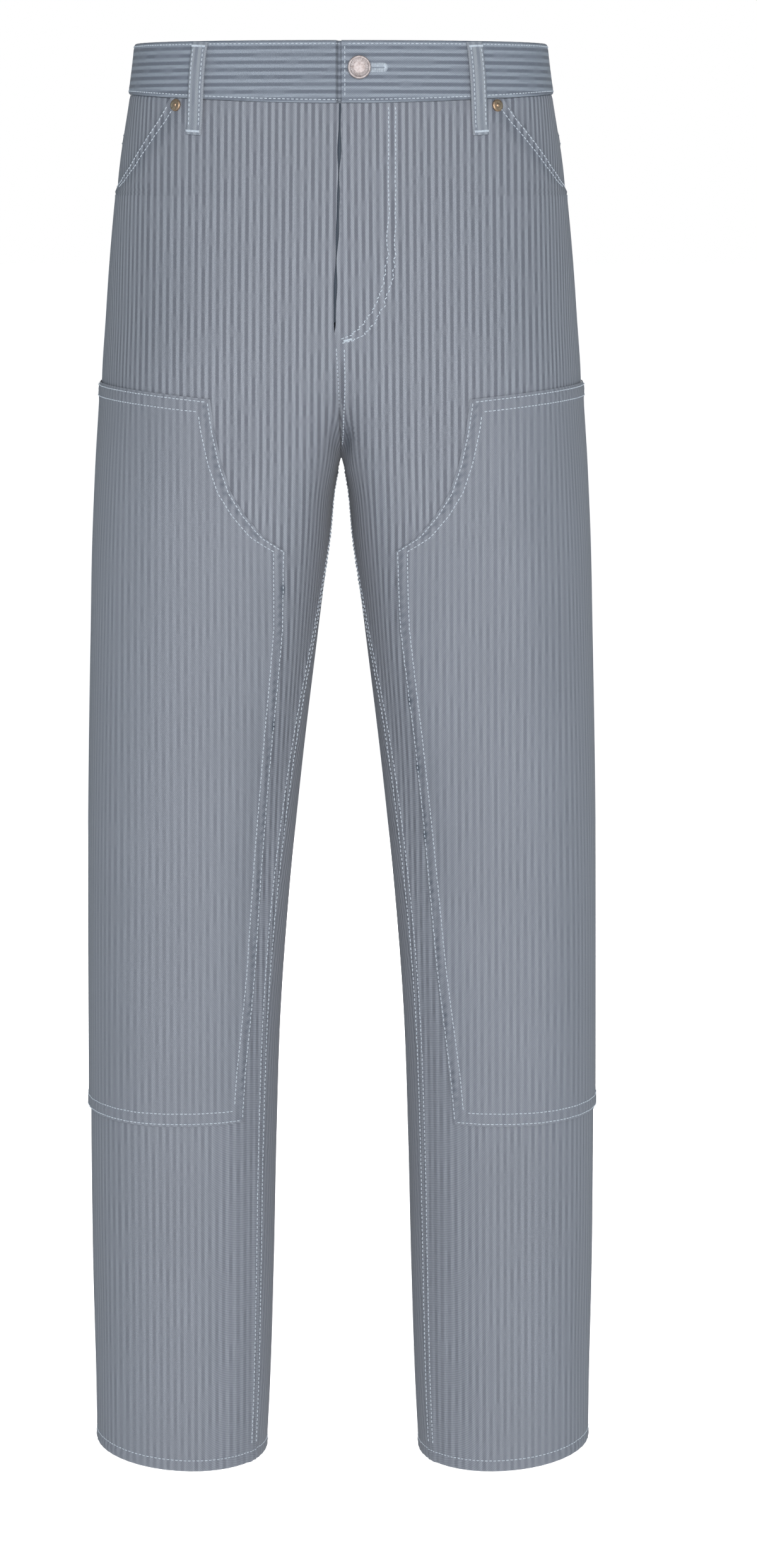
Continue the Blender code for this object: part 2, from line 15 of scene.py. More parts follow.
import bpy
import numpy as np
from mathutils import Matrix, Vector


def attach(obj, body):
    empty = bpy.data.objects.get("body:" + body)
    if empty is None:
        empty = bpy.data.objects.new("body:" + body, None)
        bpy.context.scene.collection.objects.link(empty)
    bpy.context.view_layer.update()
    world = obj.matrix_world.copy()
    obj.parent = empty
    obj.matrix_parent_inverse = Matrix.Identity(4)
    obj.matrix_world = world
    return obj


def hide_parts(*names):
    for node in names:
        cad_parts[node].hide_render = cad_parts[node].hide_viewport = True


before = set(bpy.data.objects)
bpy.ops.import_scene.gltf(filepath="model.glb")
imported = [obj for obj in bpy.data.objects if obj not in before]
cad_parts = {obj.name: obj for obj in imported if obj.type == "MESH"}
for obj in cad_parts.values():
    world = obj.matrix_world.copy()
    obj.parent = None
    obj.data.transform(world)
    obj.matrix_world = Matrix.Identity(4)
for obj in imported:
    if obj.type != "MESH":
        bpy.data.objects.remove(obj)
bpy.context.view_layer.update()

LOG = logging.getLogger("jeans")
Grid = np.ndarray
Colour = tuple[float, float, float]
Source = bpy.types.NodeSocket | Colour | float  # what an input of a shader node can be fed

MM = 0.001
CLOTH = 0.0015  # wall of the solids
SHELL = 0.0010  # cloth as it shows, inside the wall that its solid holds
SEAM_GAP = 0.0003  # between the solids' pieces
SEAM_LAP = 0.0010  # by which neighbouring pieces pass each other at a seam, as sewn cloth does
LAYER_GAP = 0.0004  # between two layers

BAND_HEIGHT = 0.037
BAND_SAG = 0.0080  # how much lower the waistband's foot lies at the centre front
BAND_FADE = 0.120  # distance down at which the panels no longer follow that
BAND_PROUD = 0.0008  # height of the band above the panels
BAND_WALL = 0.0034
BAND_UNDERLAP = 0.038  # x at which its end behind the buttonhole lies

CROTCH = 0.307
YOKE_AT_SIDE = 0.075
YOKE_AT_CENTRE = 0.108
HEM = 1.077
HEM_TILT = 0.0045  # rise of a hem's outer side, and dip of its inner
HEM_DIP = 0.0035  # dip of its front
HEM_FADE = 0.90  # distance down at which both begin
SIDE_SEAM = 364.0  # its angle, as the front counts it
FLY_END = 0.213
FLY_LIFT = 0.0012  # height of the fly's edge
FLY_WIDTH = 0.020  # width over which it rises
SHIELD_UNDER = 0.012  # reach of the fly's shield to the right of the fly's edge
SHIELD_WIDTH = 0.036  # and to its left

LOOP_WIDTH = 0.0125
LOOP_WALL = 0.0018
BUTTON_DOWN = 0.0162
BUTTON_X = 0.0139
RIVET_DOWN = 0.0425
RIVET_ANGLE = 314.0
MOUTH_TURN = 3.0  # extra angle of the right pocket's mouth at the waistband

BELOW_BAND = BAND_HEIGHT + SEAM_GAP
SIDE_ON_BACK = SIDE_SEAM - 360.0  # the side seam's angle, as the back counts it
ON_TOP = LAYER_GAP + CLOTH - 0.2 * MM  # height of a sewn-on layer above the cloth under it
SIDE_SHADE = 0.22  # painted shade down the sides, where the cloth turns away from the light
SIDE_BAND = (8 * MM, 28 * MM)  # distances from the side seam between which it ends
FLY_FOOT = 0.0015  # x at which the rows of the fly end

# (down, side, inner, front, back): half the width, the inner edge of a leg's ring, and the reach
# towards -Y and +Y
SECTIONS = np.array((
    (0.000, 0.1530, -0.1530, 0.1070, 0.1045),
    (0.037, 0.1580, -0.1580, 0.1100, 0.1110),
    (0.087, 0.1664, -0.1664, 0.1150, 0.1235),
    (0.127, 0.1712, -0.1480, 0.1180, 0.1335),
    (0.167, 0.1750, -0.1070, 0.1205, 0.1415),
    (0.207, 0.1780, -0.0630, 0.1215, 0.1455),
    (0.237, 0.1803, -0.0340, 0.1205, 0.1445),
    (0.267, 0.1816, -0.0143, 0.1180, 0.1395),
    (0.287, 0.1829, -0.0057, 0.1160, 0.1345),
    (0.307, 0.1842, 0.0000, 0.1135, 0.1285),
    (0.325, 0.1851, 0.0045, 0.1115, 0.1225),
    (0.368, 0.1870, 0.0089, 0.1065, 0.1095),
    (0.440, 0.1889, 0.0178, 0.0995, 0.0985),
    (0.537, 0.1912, 0.0296, 0.0920, 0.0880),
    (0.635, 0.1927, 0.0397, 0.0855, 0.0820),
    (0.733, 0.1934, 0.0471, 0.0810, 0.0815),
    (0.832, 0.1938, 0.0507, 0.0770, 0.0820),
    (0.932, 0.1936, 0.0532, 0.0715, 0.0820),
    (1.033, 0.1920, 0.0568, 0.0670, 0.0805),
    (1.080, 0.1916, 0.0594, 0.0655, 0.0795),
))
# (down, power of the outer half, power of the inner half)
SQUARENESS = np.array((
    (0.000, 2.25, 4.0),
    (0.200, 2.20, 4.0),
    (0.307, 2.15, 4.0),
    (0.370, 2.12, 3.0),
    (0.460, 2.10, 2.4),
    (0.620, 2.10, 2.2),
    (1.080, 2.10, 2.1),
))
# (down, angle)
INSEAM = np.array((
    (0.307, 180.0),
    (0.360, 190.0),
    (0.450, 201.0),
    (0.600, 209.0),
    (0.800, 211.0),
    (1.080, 210.0),
))
# (down, x)
CENTRE_FRONT = np.array(((0.037, 0.0), (0.120, -0.0015), (0.213, -0.0038), (0.260, -0.0015), (0.307, 0.0)))
# (down, x) along the outer row of stitches of the fly's J
FLY_CURVE = np.array((
    (0.0400, 0.0400),
    (0.0900, 0.0400),
    (0.1400, 0.0400),
    (0.1660, 0.0385),
    (0.1860, 0.0335),
    (0.2020, 0.0255),
    (0.2130, 0.0150),
    (0.2180, 0.0040),
))
# (down, angle)
POCKET_MOUTH = np.array((
    (0.0370, 316.0),
    (0.0550, 321.5),
    (0.0740, 329.0),
    (0.0900, 336.0),
    (0.1010, 343.0),
    (0.1055, 349.0),
    (0.1090, 356.0),
    (0.1115, SIDE_SEAM),
))
MOUTH_LEVEL = 0.0900  # distance down at which that has gone
FACING_END = 0.122
FACING_UNDER = 9.0  # degrees by which a pocket's facing reaches under the front
FACING_FLAT = 5.0  # degrees past the mouth over which it lies deep
FACING_SHUT = 348.0  # angle past which the mouth is all but shut
# (down, x) of the knee patch's inner edge on the wearer's left
PATCH_INNER = np.array((
    (0.2585, 0.0945),
    (0.2820, 0.0915),
    (0.3065, 0.0865),
    (0.3280, 0.0795),
    (0.3450, 0.0692),
    (0.3610, 0.0560),
    (0.3720, 0.0400),
    (0.4300, 0.0432),
    (0.5100, 0.0520),
    (0.6000, 0.0602),
    (0.6900, 0.0684),
    (0.7700, 0.0775),
    (0.8085, 0.0805),
))
PATCH_CURVE_END = 0.3720  # distance down at which the patch's edge turns straight
PATCH_LEAN = {+1: 0.0045, -1: -0.0055}  # how far that edge leans out at its foot, by half
# (x, down) of its upper and lower edges
PATCH_UPPER = np.array(((0.0945, 0.2585), (0.170, 0.2515), (0.230, 0.2465)))
PATCH_LOWER = np.array(((0.0805, 0.8085), (0.150, 0.8080), (0.230, 0.8060)))
# (down, distance off the base cloth) along a belt loop's inner face
LOOP_PATH = np.array((
    (0.0008, 0.0014),
    (0.0070, 0.0026),
    (0.0160, 0.0034),
    (0.0270, 0.0034),
    (0.0370, 0.0026),
    (0.0460, 0.0016),
    (0.0550, 0.0006),
    (0.0645, 0.0005),
))
# (x, down) of the corners of a back pocket's mouth and of its lower edge, from the inner side out
POCKET_TOP = np.array(((0.034, 0.1270), (0.147, 0.1180)))
POCKET_FOOT = np.array(((0.041, 0.2540), (0.092, 0.2760), (0.142, 0.2480)))
# (radius, height) in millimetres, from the middle out and round to the shank
BUTTON_PROFILE = (
    (0.0, 2.45), (2.0, 2.45), (3.2, 2.42), (3.7, 2.30), (4.1, 2.42), (5.0, 2.60), (5.6, 2.75),
    (6.3, 2.75), (6.8, 3.1), (7.3, 3.35), (7.8, 3.35), (8.25, 3.05), (8.5, 2.5), (8.6, 1.9),
    (8.45, 1.1), (8.1, 0.6), (6.0, 0.1), (3.0, 0.0), (3.0, -4.0), (0.0, -4.0),
)
RIVET_PROFILE = (
    (0.0, 1.9), (0.7, 1.85), (1.15, 1.6), (1.45, 1.25), (1.9, 1.15), (3.0, 1.2), (3.8, 1.0),
    (4.3, 0.65), (4.5, 0.2), (4.5, -0.4), (0.0, -0.4),
)
# (down, x) of the line that the stripe runs along, on the front and on the back
GRAIN = np.array((
    (0.0, 0.0970),
    (0.307, 0.0990),
    (0.440, 0.1000),
    (0.635, 0.1020),
    (0.830, 0.1035),
    (1.080, 0.1050),
))


class Half(Enum):
    """The two halves of the jeans, as the wearer has them."""

    LEFT = 1
    RIGHT = -1

    @property
    def word(self) -> str:
        """Name of the half in a node's name."""
        return self.name.lower()


class Fold(NamedTuple):
    """A soft trough (depth below 0) or ridge on the surface."""

    half: int
    angle: float
    down: float
    spread: float  # half-width in degrees
    reach: float  # half-length along the leg
    slant: float  # degrees of turn for each metre down
    depth: float


FOLDS = (
    Fold(+1, 247.0, 0.335, 16.0, 0.055, -260.0, -0.0035),
    Fold(-1, 249.0, 0.345, 15.0, 0.060, -240.0, -0.0030),
    Fold(+1, 292.0, 0.430, 14.0, 0.110, 30.0, 0.0022),
    Fold(-1, 286.0, 0.470, 15.0, 0.120, -25.0, 0.0020),
    Fold(+1, 225.0, 0.560, 12.0, 0.090, 40.0, -0.0022),
    Fold(-1, 226.0, 0.600, 12.0, 0.100, 30.0, -0.0020),
    Fold(+1, 300.0, 0.700, 20.0, 0.100, 0.0, 0.0018),
    Fold(-1, 296.0, 0.760, 20.0, 0.090, 0.0, 0.0018),
    Fold(+1, 118.0, 0.318, 34.0, 0.026, 0.0, -0.0060),
    Fold(-1, 112.0, 0.326, 36.0, 0.028, 0.0, -0.0055),
    Fold(+1, 84.0, 0.610, 40.0, 0.030, 0.0, -0.0050),
    Fold(-1, 92.0, 0.625, 42.0, 0.032, 0.0, -0.0045),
    Fold(+1, 100.0, 0.690, 36.0, 0.028, 0.0, -0.0035),
    Fold(-1, 80.0, 0.700, 38.0, 0.030, 0.0, -0.0038),
)
# Finer creases, which the belt loops don't follow
CREASES = (
    Fold(+1, 262.0, 0.285, 5.0, 0.030, -420.0, -0.0011),
    Fold(-1, 260.0, 0.292, 5.5, 0.034, -380.0, -0.0012),
    Fold(+1, 277.0, 0.262, 5.0, 0.026, -520.0, 0.0007),
    Fold(-1, 281.0, 0.250, 6.0, 0.024, -560.0, 0.0006),
    Fold(+1, 258.0, 0.390, 7.0, 0.045, -120.0, 0.0010),
    Fold(-1, 262.0, 0.410, 6.0, 0.050, -90.0, 0.0009),
    Fold(+1, 310.0, 0.345, 8.0, 0.050, 60.0, -0.0008),
    Fold(-1, 306.0, 0.330, 8.0, 0.060, 40.0, -0.0009),
    Fold(+1, 242.0, 0.520, 6.0, 0.070, 30.0, 0.0009),
    Fold(-1, 244.0, 0.545, 7.0, 0.060, 20.0, 0.0008),
    Fold(+1, 285.0, 0.610, 16.0, 0.016, 0.0, -0.0007),
    Fold(-1, 278.0, 0.598, 18.0, 0.018, 0.0, -0.0008),
    Fold(+1, 262.0, 0.905, 8.0, 0.070, 35.0, 0.0012),
    Fold(-1, 268.0, 0.930, 8.0, 0.060, -30.0, 0.0011),
    Fold(+1, 236.0, 0.985, 6.0, 0.050, 20.0, -0.0010),
    Fold(-1, 240.0, 0.965, 7.0, 0.055, 25.0, -0.0010),
    Fold(+1, 330.0, 0.980, 9.0, 0.070, -20.0, -0.0009),
    Fold(-1, 334.0, 0.960, 9.0, 0.060, -25.0, -0.0009),
    Fold(+1, 128.0, 0.350, 30.0, 0.010, 60.0, -0.0016),
    Fold(-1, 122.0, 0.362, 28.0, 0.011, 40.0, -0.0015),
    Fold(+1, 60.0, 0.300, 18.0, 0.012, -80.0, -0.0010),
    Fold(-1, 64.0, 0.292, 20.0, 0.012, -60.0, -0.0011),
    Fold(+1, 92.0, 0.575, 30.0, 0.010, 0.0, -0.0017),
    Fold(-1, 84.0, 0.582, 28.0, 0.011, 0.0, -0.0016),
    Fold(+1, 104.0, 0.648, 30.0, 0.012, 0.0, 0.0015),
    Fold(-1, 96.0, 0.660, 32.0, 0.012, 0.0, 0.0014),
    Fold(+1, 76.0, 0.735, 26.0, 0.014, 0.0, -0.0012),
    Fold(-1, 104.0, 0.742, 24.0, 0.013, 0.0, -0.0013),
    Fold(+1, 84.0, 0.960, 10.0, 0.070, 30.0, 0.0012),
    Fold(-1, 98.0, 0.940, 11.0, 0.060, -30.0, 0.0011),
)


def smooth(knots: Grid, values: Grid, at: Grid) -> Grid:
    """Read a smooth curve through given values.

    Args:
        knots: rising places.
        values: the curve's values there.
        at: where it is read.

    Returns:
        The curve's values at those places.
    """
    slopes = np.gradient(values, knots)
    at = np.clip(at, knots[0], knots[-1])
    low = np.clip(np.searchsorted(knots, at) - 1, 0, len(knots) - 2)
    width = knots[low + 1] - knots[low]
    t = (at - knots[low]) / width
    rise = values[low + 1] - values[low]
    cubic = slopes[low] + slopes[low + 1] - 2 * rise / width
    square = 3 * rise / width - 2 * slopes[low] - slopes[low + 1]
    return values[low] + width * t * (slopes[low] + t * (square + t * cubic))


def along(table: Grid, at: Grid, column: int = 1) -> Grid:
    """Read a column of a table smoothly at distances down.

    Args:
        table: rows that start with the distance down.
        at: distances down.
        column: the column to read.

    Returns:
        The values there.
    """
    return smooth(table[:, 0], table[:, column], np.asarray(at, float))


def step(edge_from: float, edge_to: float, at: Grid) -> Grid:
    """Smooth step from 0 at the first edge to 1 at the second."""
    t = np.clip((at - edge_from) / (edge_to - edge_from), 0.0, 1.0)
    return t * t * (3 - 2 * t)


def bell(distance: Grid, width: float) -> Grid:
    """Smooth bell, 1 at no distance and close to 0 at twice the width."""
    return np.exp(-((distance / width) ** 2))


def unit(vectors: Grid) -> Grid:
    """Vectors scaled to length 1."""
    return vectors / np.maximum(np.linalg.norm(vectors, axis=-1, keepdims=True), 1e-12)


def finer(values: Grid, most: float) -> Grid:
    """Fill in a rising list so that no step is longer than a given one.

    Args:
        values: rising values, all of which stay.
        most: the longest step.

    Returns:
        The longer list.
    """
    pieces = [
        np.linspace(low, high, max(1, math.ceil((high - low) / most - 1e-6)), endpoint=False)
        for low, high in zip(values, values[1:])
    ]
    return np.concatenate([*pieces, [values[-1]]])


class GarmentForm:
    """The surface that every cloth piece of the jeans lies on."""

    crowding: float = 0.10  # how close columns crowd against the crotch
    facing: tuple[float, float] = (0.50, 0.80)  # cosines between which the stripe turns upright

    def ring_at(self, down: Grid) -> tuple[Grid, Grid, Grid, Grid]:
        """Centre and half-sizes (x, y, half-width, half-depth) of one half's ring."""
        side, inner, front, back = (along(SECTIONS, down, column) for column in (1, 2, 3, 4))
        return (side + inner) / 2, (back - front) / 2, (side - inner) / 2, (front + back) / 2

    def squareness(self, down: Grid, across: Grid) -> Grid:
        """Power of the ring's curve, which its inner and outer halves have of their own."""
        return np.where(across < 0, along(SQUARENESS, down, 2), along(SQUARENESS, down, 1))

    def plain_point(self, half: int, down: Grid, angle: Grid) -> Grid:
        """Place a point on the surface, without folds.

        Args:
            half: +1 for the wearer's left, -1 for the right.
            down: distances down.
            angle: angles round that half, in degrees.

        Returns:
            Points, with x, y and z on the last axis.
        """
        x_mid, y_mid, half_width, half_depth = self.ring_at(down)
        cos, sin = np.cos(np.radians(angle)), np.sin(np.radians(angle))
        power = self.squareness(down, cos)
        reach = (np.abs(cos) ** power + np.abs(sin) ** power) ** (-1 / power)
        sag = BAND_SAG * np.where(sin < 0, sin * sin, 0.0)
        sag = sag * np.interp(down, (0.0, BAND_HEIGHT, BAND_FADE), (0.0, 1.0, 0.0))
        tilt = HEM_TILT * cos - HEM_DIP * np.where(sin < 0, sin * sin, 0.0)
        tilt = tilt * np.interp(down, (HEM_FADE, HEM), (0.0, 1.0))
        x = half * (x_mid + half_width * reach * cos + SEAM_GAP / 2)
        y = y_mid + half_depth * reach * sin
        return np.stack(np.broadcast_arrays(x, y, tilt - sag - down), axis=-1)

    def outward(self, half: int, down: Grid, angle: Grid) -> Grid:
        """Find which way the surface faces.

        Args:
            half: +1 for the wearer's left, -1 for the right.
            down: distances down.
            angle: angles round that half, in degrees.

        Returns:
            Unit vectors that point out of the garment.
        """
        step_down, step_angle = 0.0005, 0.2
        ahead = self.plain_point(half, down, angle + step_angle)
        across = ahead - self.plain_point(half, down, angle - step_angle)
        lower = self.plain_point(half, np.clip(down + step_down, 0.0, HEM), angle)
        downward = lower - self.plain_point(half, np.clip(down - step_down, 0.0, HEM), angle)
        return unit(half * np.cross(downward, across))

    def relief(self, half: int, down: Grid, angle: Grid, fine: bool = True) -> Grid:
        """Add up the folds, and the finer creases with them.

        Args:
            half: +1 for the wearer's left, -1 for the right.
            down: distances down.
            angle: angles round that half, in degrees.
            fine: whether the finer creases count.

        Returns:
            Heights above the plain surface.
        """
        height = np.zeros(np.broadcast(down, angle).shape)
        for fold in FOLDS + (CREASES if fine else ()):
            if fold.half != half:
                continue
            turn = angle - fold.angle - fold.slant * (down - fold.down)
            turn = (turn + 180.0) % 360.0 - 180.0
            bump = np.exp(-((turn / fold.spread) ** 2) - ((down - fold.down) / fold.reach) ** 2)
            height = height + fold.depth * bump
        return height

    def angle_at(self, down: Grid, x: Grid, back: bool = False) -> Grid:
        """Find where the left half's ring passes an x.

        Args:
            down: distances down.
            x: distances from the middle.
            back: whether the place is on the back and not on the front.

        Returns:
            Angles in degrees.
        """
        x_mid, _, half_width, _ = self.ring_at(down)
        across = np.clip((x - x_mid) / half_width, -1.0, 1.0)
        power = self.squareness(down, across)
        deep = (1 - np.abs(across) ** power) ** (1 / power)
        turn = np.degrees(np.arctan2(deep, across))
        return turn if back else 360.0 - turn

    def centre_front(self, half: int, down: Grid) -> Grid:
        """Angle of a front panel's inner edge: the fly or centre seam, then the inseam."""
        seam = self.angle_at(np.minimum(down, CROTCH), half * along(CENTRE_FRONT, down))
        return np.where(down < CROTCH, seam, along(INSEAM, down))

    def centre_back(self, down: Grid) -> Grid:
        """Angle of a back panel's inner edge: the centre-back seam, then the inseam."""
        seam = self.angle_at(np.minimum(down, CROTCH), 0.0, back=True)
        return np.where(down < CROTCH, seam, along(INSEAM, down))

    def mouth_turn(self, half: int, down: Grid) -> Grid:
        """Extra angle of the pocket's mouth on the wearer's right."""
        return MOUTH_TURN * np.interp(down, (BAND_HEIGHT, MOUTH_LEVEL), (1.0, 0.0)) * (half < 0)

    def pocket_mouth(self, half: int, down: Grid) -> Grid:
        """Angle of a front panel's outer edge: the pocket's mouth, then the side seam."""
        return np.interp(down, POCKET_MOUTH[:, 0], POCKET_MOUTH[:, 1]) + self.mouth_turn(half, down)

    def patch_edge(self, half: int, down: Grid) -> Grid:
        """Find the knee patch's inner edge.

        Args:
            half: +1 for the wearer's left, -1 for the right.
            down: distances down.

        Returns:
            Angles in degrees.
        """
        down = np.clip(down, PATCH_INNER[0, 0], PATCH_INNER[-1, 0])
        lean = PATCH_LEAN[half] * np.interp(down, (PATCH_CURVE_END, PATCH_INNER[-1, 0]), (0.0, 1.0))
        return self.angle_at(down, np.interp(down, PATCH_INNER[:, 0], PATCH_INNER[:, 1]) + lean)

    def yoke_seam(self, angles: Grid) -> Grid:
        """Distance down of the yoke's seam, which dips to the centre back."""
        share = np.clip((angles - SIDE_ON_BACK) / (90.0 - SIDE_ON_BACK), 0.0, 1.0)
        return YOKE_AT_SIDE + (YOKE_AT_CENTRE - YOKE_AT_SIDE) * share

    def between_seams(self, half: int, down: Grid, inner: Grid, side: Grid, columns: int) -> Grid:
        """Lay out columns from seam to seam, crowded against the inner one near the crotch.

        Args:
            half: +1 for the wearer's left, -1 for the right.
            down: distance down of each row.
            inner: angle of the inner edge of each row.
            side: angle of the outer edge of each row.
            columns: number of steps across.

        Returns:
            A grid of angles.
        """
        front = bool(np.all(inner > 180.0 - 1e-6))
        middle = (inner + side) / 2
        span = self.plain_point(half, down, middle + 1) - self.plain_point(half, down, middle - 1)
        margin = (SEAM_LAP / np.linalg.norm(span, axis=-1)) * (-1 if front else 1)
        first, last = (inner + margin)[:, None], (side - margin)[:, None]
        ramp = np.interp(down, (FLY_END, CROTCH), (270.0 if front else 90.0, 180.0))
        nearer, crowd = (np.minimum, np.maximum) if front else (np.maximum, np.minimum)
        even = np.where(down < CROTCH, nearer(inner + margin, ramp), inner + margin)[:, None]
        share = np.linspace(0.0, 1.0, columns + 1)
        crowded = first + (last - first) * share * self.crowding
        return crowd(even * (1 - share) + last * share, crowded)

    def across_stripe(self, down: Grid, angle: Grid, back: bool) -> Grid:
        """Measure how far points lie from the line that the stripe runs along.

        Args:
            down: distances down.
            angle: angles in degrees, of the same shape.
            back: whether the line on the back counts and not the one on the front.

        Returns:
            Distances in metres, along x where the cloth faces the front or back, and round the
            half elsewhere.
        """
        turns = np.linspace(-20.0, 380.0, 401)
        levels = np.linspace(0.0, HEM, 130)
        rings = self.plain_point(1, levels[:, None], np.broadcast_to(turns, (len(levels), len(turns))))
        steps = np.linalg.norm(np.diff(rings, axis=1), axis=-1)
        across = np.abs(np.diff(rings[..., 0], axis=1))
        facing = step(*self.facing, across / steps)
        run = np.pad(np.cumsum(across * facing + steps * (1 - facing), axis=1), ((0, 0), (1, 0)))
        line = self.angle_at(levels, along(GRAIN, levels), back=back)
        run -= np.array([np.interp(at, turns, row) for at, row in zip(line, run)])[:, None]
        row = np.clip(down / HEM * (len(levels) - 1), 0, len(levels) - 1.001)
        column = np.clip(angle - turns[0], 0, len(turns) - 1.001)
        r, c = row.astype(int), column.astype(int)
        upper = run[r, c] + (run[r, c + 1] - run[r, c]) * (column - c)
        lower = run[r + 1, c] + (run[r + 1, c + 1] - run[r + 1, c]) * (column - c)
        return upper + (lower - upper) * (row - r)


FORM = GarmentForm()


class Line(NamedTuple):
    """A line on the cloth, as points and the outward directions there."""

    points: Grid
    normals: Grid


def crossings(lines: Grid, distance: float) -> Grid:
    """Find where lines of a grid pass a distance.

    Args:
        lines: distances along each line, rising or falling.
        distance: the distance to find.

    Returns:
        A place on each line, with a fraction.
    """
    order = np.arange(lines.shape[1])
    found = []
    for line in lines:
        places = (line, order) if line[0] < line[-1] else (line[::-1], order[::-1])
        found.append(np.interp(distance, *places))
    return np.array(found)


@dataclass
class Shell:
    """One cloth piece, as a dense grid on the surface. Row 0 is its top, column 0 its inner edge."""

    name: str
    downs: Grid
    angles: Grid
    face: Grid
    normal: Grid
    thickness: float = SHELL
    wear: Grid = field(init=False)
    contrast: Grid = field(init=False)
    from_inner: Grid = field(init=False)
    from_outer: Grid = field(init=False)
    from_top: Grid = field(init=False)
    from_bottom: Grid = field(init=False)

    def __post_init__(self) -> None:
        """Measure how far each point lies from the piece's four edges."""
        across = np.linalg.norm(np.diff(self.face, axis=1), axis=-1)
        down = np.linalg.norm(np.diff(self.face, axis=0), axis=-1)
        self.from_inner = np.pad(np.cumsum(across, axis=1), ((0, 0), (1, 0)))
        self.from_outer = self.from_inner[:, -1:] - self.from_inner
        self.from_top = np.pad(np.cumsum(down, axis=0), ((1, 0), (0, 0)))
        self.from_bottom = self.from_top[-1:] - self.from_top
        self.wear = np.zeros(self.face.shape[:2])
        self.contrast = np.ones(self.face.shape[:2])

    @classmethod
    def on_half(cls, name: str, half: int, downs: Grid, angles: Grid, off: Grid | float = 0.0) -> "Shell":
        """Lay a piece on one half of the jeans.

        Args:
            name: the piece's name.
            half: +1 for the wearer's left, -1 for the right.
            downs: distances down.
            angles: angles in degrees, of the grid's full shape.
            off: height of its face above the base cloth's.

        Returns:
            The piece.
        """
        downs = np.broadcast_to(downs, angles.shape).astype(float)
        normal = FORM.outward(half, downs, angles)
        height = FORM.relief(half, downs, angles) + off
        face = FORM.plain_point(half, downs, angles) + normal * height[..., None]
        return cls(name, downs, angles, face, normal)

    def lift(self, height: Grid) -> None:
        """Move the face out by a height at each point."""
        self.face = self.face + self.normal * height[..., None]

    def fade(self, amount: Grid) -> None:
        """Raise the wear to at least an amount at each point."""
        self.wear = np.maximum(self.wear, amount)

    def paint_shade(self, amount: Grid) -> None:
        """Lower the wear value below 0, which paints shade where the cloth lies in a recess or turns away
        from the light.
        """
        self.wear = self.wear - amount

    def side_shade(self) -> Grid:
        """How much painted shade darkens the cloth along the side seam, where it turns away from the light.
        """
        return SIDE_SHADE * (1 - step(*SIDE_BAND, self.from_outer))

    def even_out(self, levels: tuple[float, ...], shares: tuple[float, ...]) -> None:
        """Set the stripe's contrast, as shares of the full one at distances down."""
        self.contrast = np.interp(self.downs, levels, shares)

    def locate(self, down: Grid, angle: Grid) -> tuple[Grid, Grid]:
        """Find places on the grid.

        Args:
            down: distances down.
            angle: angles in degrees.

        Returns:
            Rows and columns, with fractions.
        """
        rows, columns = self.downs.shape
        down, angle = np.broadcast_arrays(np.asarray(down, float), np.asarray(angle, float))
        at_row, at_column = np.zeros(down.shape), np.full(down.shape, columns / 2)
        rising = self.angles[rows // 2, -1] > self.angles[rows // 2, 0]
        for _ in range(4):
            for index in range(down.size):
                level = self.downs[:, int(round(at_column[index]))]
                at_row[index] = np.interp(down[index], level, np.arange(rows))
                turns = self.angles[int(round(at_row[index]))]
                order = np.arange(columns)
                if not rising:
                    turns, order = turns[::-1], order[::-1]
                at_column[index] = np.interp(angle[index], turns, order)
        return at_row, at_column

    def read(self, rows: Grid, columns: Grid) -> Line:
        """Read a line off the face.

        Args:
            rows: rows, with fractions.
            columns: columns, with fractions.

        Returns:
            The line.
        """
        most_row, most_column = self.face.shape[0] - 2, self.face.shape[1] - 2
        row = np.clip(np.floor(rows).astype(int), 0, most_row)
        column = np.clip(np.floor(columns).astype(int), 0, most_column)
        r, c = (rows - row)[:, None], (columns - column)[:, None]
        found = []
        for grid in (self.face, self.normal):
            upper = grid[row, column] * (1 - c) + grid[row, column + 1] * c
            lower = grid[row + 1, column] * (1 - c) + grid[row + 1, column + 1] * c
            found.append(upper * (1 - r) + lower * r)
        return Line(found[0], unit(found[1]))

    def beside(self, edge: Grid, distance: float, first: float = 0.0, last: float = 10.0) -> Line:
        """Follow the inner or outer edge at a distance.

        Args:
            edge: from_inner or from_outer.
            distance: how far from that edge.
            first: distance down at which the line starts.
            last: distance down at which it ends.

        Returns:
            The line, from the top down.
        """
        columns = crossings(edge, distance)
        rows = np.arange(len(columns))
        level = self.downs[rows, np.round(columns).astype(int)]
        inside = (level >= first) & (level <= last)
        return self.read(rows[inside].astype(float), columns[inside])

    def under(self, edge: Grid, distance: float, near: float = 0.0, far: float = 0.0) -> Line:
        """Follow the top or bottom edge at a distance.

        Args:
            edge: from_top or from_bottom.
            distance: how far from that edge.
            near: distance from the inner edge at which the line starts.
            far: distance from the outer edge at which it ends.

        Returns:
            The line, from the inner edge to the outer.
        """
        rows = crossings(edge.T, distance)
        columns = np.arange(len(rows))
        level = np.round(rows).astype(int)
        inside = (self.from_inner[level, columns] >= near) & (self.from_outer[level, columns] >= far)
        return self.read(rows[inside], columns[inside].astype(float))

    def through(self, places: Grid) -> Line:
        """Follow a smooth line through places given as distance down and angle."""
        rows, columns = self.locate(places[:, 0], places[:, 1])
        return self.read(rows, columns)

